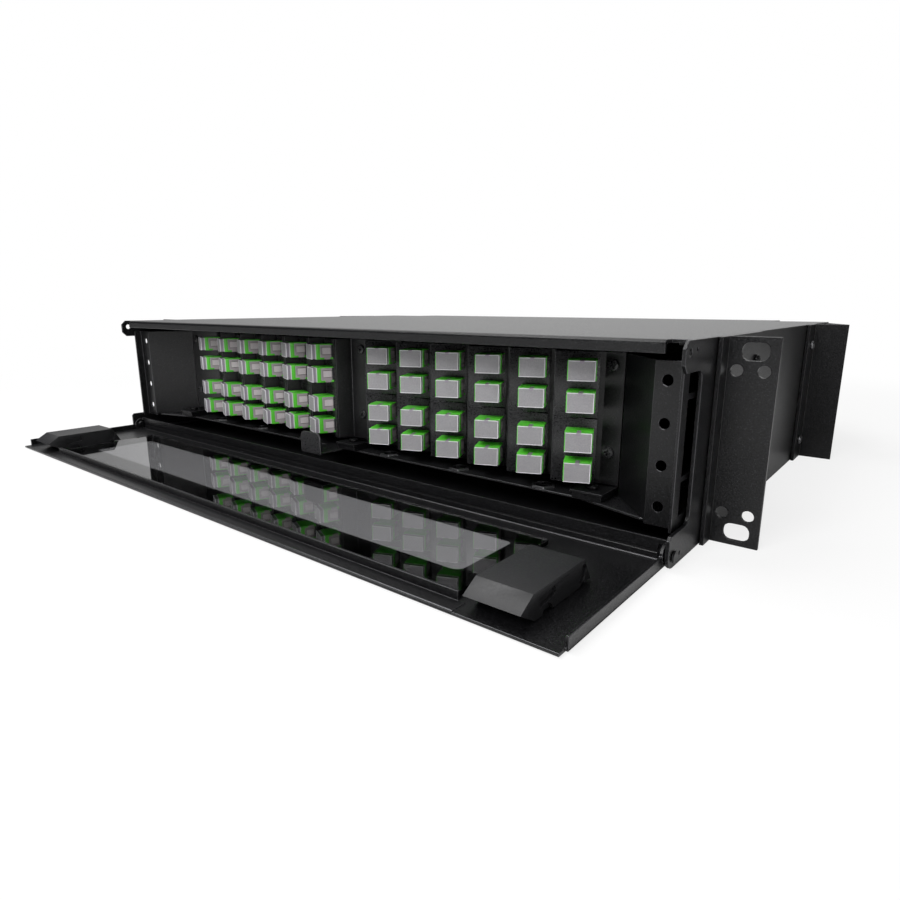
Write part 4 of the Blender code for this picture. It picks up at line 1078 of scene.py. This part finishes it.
@dataclass
class Fasteners:
    """Cross-recessed screws of the bank, its feet and the rack ears."""

    finishes: Finishes
    scatter: Scatter
    head: float = 0.0028
    rise: float = 0.0016
    low_rise: float = 0.0007
    shank: float = 0.0014
    length: float = 0.0050
    recess: float = 0.0030
    recess_depth: float = 0.0011
    slit_half: float = 0.00036
    dome: tuple = ((1, 0), (1, 0.45), (0.93, 0.72), (0.78, 0.9), (0.5, 1), (0, 1))
    rounding: float = 0.00006
    first_seed: int = 3
    bank_count: int = 6
    foot_count: int = 3

    def shape(self, rise: float) -> Object:
        """Makes a cross-recessed screw.

        Args:
            rise: height of its head.

        Returns:
            The screw, with its seat at the origin and its head up.
        """
        profile = [(0, -self.length), (self.shank, -self.length), (self.shank, 0.0)]
        profile += [(self.head * wide, rise * high) for wide, high in self.dome]
        screw = Shape("screw").turn(profile).object()
        arm, half = self.recess / 2, self.slit_half
        cuts = []
        for x, y in ((half, arm), (arm, half)):
            cuts.append(Shape("recess").block((-x, -y, rise - self.recess_depth),
                                              (x, y, rise + OVERCUT)).object())
        return soften(carve(screw, *cuts), self.rounding)

    def build(self) -> None:
        """Builds and hands over each group of screws."""
        up = Vector((0, 0, 1))
        dark, bright = self.finishes.get(Finishes.SCREW), self.finishes.get(Finishes.ZINC)
        coat = self.finishes.get(Finishes.PLATE)
        bank = [f"bank_screw_{k + 1}" for k in range(self.bank_count)]
        feet = [f"foot_screw_{k + 1}" for k in range(self.foot_count)]
        groups = [
            ("bank_screws", bank, Vector((0, -1, 0)), self.low_rise, coat),
            ("foot_screws", feet, up, self.rise, dark),
        ]
        for side in Side:
            for end, finish in (("front", dark), ("rear", bright)):
                nodes = [f"ear_screw_{side.label}_{end}_{row}" for row in ("low", "high")]
                way = Vector((side.value, 0, 0))
                groups.append((f"ear_screws_{side.label}_{end}", nodes, way, self.rise, finish))
        shapes = {rise: self.shape(rise) for rise in (self.rise, self.low_rise)}
        for seed, (name, nodes, way, rise, finish) in enumerate(groups, self.first_seed):
            points = []
            for node in nodes:
                low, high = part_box(node)
                middle = (low + high) / 2
                axis = max(range(3), key=lambda k: abs(way[k]))
                middle[axis] = (high[axis] if way[axis] > 0 else low[axis]) - way[axis] * rise
                points.append(middle)
            turn = tuple(up.rotation_difference(way).to_euler())
            piece = self.scatter.place(name, shapes[rise], points, finish, turn, math.pi / 2, seed)
            hand_over(piece, Body.HOUSING, Slot.SCREW, *nodes)
        for shape in shapes.values():
            bpy.data.objects.remove(shape)


@dataclass
class Fittings:
    """Window, pins and the parts on the tray, which keep their solids."""

    finishes: Finishes
    edge: float = 0.0003

    def dress(self) -> None:
        """Rounds and dresses each one."""
        table = {
            Finishes.PLASTIC: ("fibre_spool_left", "fibre_spool_right", "splice_cassette"),
            Finishes.ACRYLIC: ("door_window",),
            Finishes.SCREW: ("hinge_pin_left", "hinge_pin_right"),
            Finishes.CLEAR: ("splice_cassette_lid",),
            Finishes.RUBBER: ("cable_grommet_left", "cable_grommet_right"),
        }
        for finish, names in table.items():
            for name in names:
                round_node(name, self.finishes.get(finish), self.edge)


@dataclass
class Studio:
    """Camera, lamps, world and floor."""

    camera_place: tuple = (0.29228, -0.39235, 0.10029)
    camera_turn: tuple = (76.721, 0.0, 38.792)
    lens: float = 24.63
    sensor: float = 36.0
    nearest: float = 0.01
    ambient: float = 0.18
    sky_way: tuple = (-0.35, 0.65, 0.67)
    sky_span: tuple = (0.52, 0.85)
    sky_low: float = 0.02
    lamps: tuple = (
        ("top_softbox", (-0.46, -0.34, 1.15), (0.1, -0.15, 0.03), 0.7, 10.0),
        ("front_softbox", (0.10, -1.25, 1.05), (0.0, -0.1, 0.05), 0.7, 16.0),
        ("side_softbox", (1.30, -0.90, 0.45), (0.0, -0.15, 0.04), 0.8, 6.0),
    )
    floor_half: float = 6.0
    floor_top: float = -0.0002
    floor_low: float = -0.01
    floor_tone: tuple = (0.92, 0.92, 0.92, 1)
    shadow_span: tuple = (0.3, 0.75)
    white_near: float = 0.8
    white: tuple = (1, 1, 1, 1)

    def build(self) -> None:
        """Sets up the whole studio."""
        self.add_camera()
        self.add_world()
        self.add_floor()
        for lamp in self.lamps:
            self.add_lamp(*lamp)

    def add_camera(self) -> None:
        """Puts the camera at the photograph's viewing angle."""
        data = bpy.data.cameras.new("camera")
        data.lens, data.sensor_width = self.lens, self.sensor
        data.clip_start = self.nearest
        camera = add_object("camera", data)
        camera.location = self.camera_place
        camera.rotation_euler = [math.radians(angle) for angle in self.camera_turn]
        bpy.context.scene.camera = camera

    def to_eye(self, tree: NodeTree) -> NodeSocket:
        """Gives one for rays that the eye sees, straight or through glass, and nought for others.

        Args:
            tree: the node tree.

        Returns:
            The value's socket.
        """
        rays = add_node(tree, "ShaderNodeLightPath").outputs
        both = {0: rays["Is Camera Ray"], 1: rays["Is Transmission Ray"]}
        return add_node(tree, "ShaderNodeMath", both, operation="MAXIMUM").outputs[0]

    def add_world(self) -> None:
        """Makes a background that the eye sees white, and gloss only high at the back left."""
        world = bpy.data.worlds.new("studio")
        bpy.context.scene.world = world
        world.use_nodes = True
        tree = world.node_tree
        tree.nodes.clear()
        way = add_node(tree, "ShaderNodeTexCoord").outputs["Generated"]
        lean = add_node(tree, "ShaderNodeVectorMath", {0: way, 1: self.sky_way},
                        operation="DOT_PRODUCT").outputs["Value"]
        sky = add_node(tree, "ShaderNodeMapRange", {
            0: lean, 1: self.sky_span[0], 2: self.sky_span[1], 3: self.sky_low, 4: 1.0,
        }, interpolation_type="SMOOTHSTEP").outputs[0]
        glossy = add_node(tree, "ShaderNodeLightPath").outputs["Is Glossy Ray"]
        level = add_node(tree, "ShaderNodeMix", {0: glossy, 2: self.ambient, 3: sky}).outputs[0]
        level = add_node(tree, "ShaderNodeMix", {0: self.to_eye(tree), 2: level, 3: 1.0}).outputs[0]
        light = add_node(tree, "ShaderNodeBackground", {"Color": self.white, "Strength": level})
        add_node(tree, "ShaderNodeOutputWorld", {"Surface": light.outputs[0]})

    def add_floor(self) -> None:
        """Makes a floor with a soft shadow close to the box and plain white further off."""
        half = self.floor_half
        floor = Shape("studio_floor").block((-half, -half, self.floor_low),
                                            (half, half, self.floor_top)).object()
        material, tree, output = new_material("white_floor")
        place = add_node(tree, "ShaderNodeTexCoord").outputs["Object"]
        far = add_node(tree, "ShaderNodeVectorMath", {0: place},
                       operation="LENGTH").outputs["Value"]
        white = add_node(tree, "ShaderNodeMapRange", {
            0: far, 1: self.shadow_span[0], 2: self.shadow_span[1], 3: self.white_near, 4: 1.0,
        }, interpolation_type="SMOOTHSTEP").outputs[0]
        share = add_node(tree, "ShaderNodeMath", {0: self.to_eye(tree), 1: white},
                         operation="MULTIPLY").outputs[0]
        matt = add_node(tree, "ShaderNodeBsdfDiffuse", {"Color": self.floor_tone})
        glow = add_node(tree, "ShaderNodeEmission", {"Color": self.white, "Strength": 1.0})
        mix = add_node(tree, "ShaderNodeMixShader",
                       {0: share, 1: matt.outputs[0], 2: glow.outputs[0]})
        tree.links.new(mix.outputs[0], output.inputs["Surface"])
        paint(floor, material)
        floor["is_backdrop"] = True

    def add_lamp(self, name: str, place: tuple, aim: tuple, size: float, power: float) -> None:
        """Adds one square softbox.

        Args:
            name: name of the lamp.
            place: where it hangs.
            aim: the point that it faces.
            size: length of its sides.
            power: its power in watts.
        """
        data = bpy.data.lights.new(name, "AREA")
        data.shape, data.size, data.energy = "SQUARE", size, power
        lamp = add_object(name, data)
        lamp.location = place
        lamp.rotation_euler = (Vector(aim) - Vector(place)).to_track_quat("-Z", "Y").to_euler()


def corners() -> list:
    """The object's box as plain lists of numbers."""
    return [[float(value) for value in corner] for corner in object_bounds()]


def main() -> None:
    """Builds the looks around the frame."""
    logging.basicConfig(level=logging.INFO, format="%(message)s")
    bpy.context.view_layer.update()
    view = bpy.context.scene.view_settings
    view.view_transform = "Standard"
    finishes = Finishes()
    scatter = Scatter()
    SheetMetal(finishes).dress()
    Fittings(finishes).dress()
    AdapterBank(finishes, scatter).build()
    Latches(finishes).build()
    Fasteners(finishes, scatter).build()
    Studio().build()


if __name__ == "__main__":
    main()
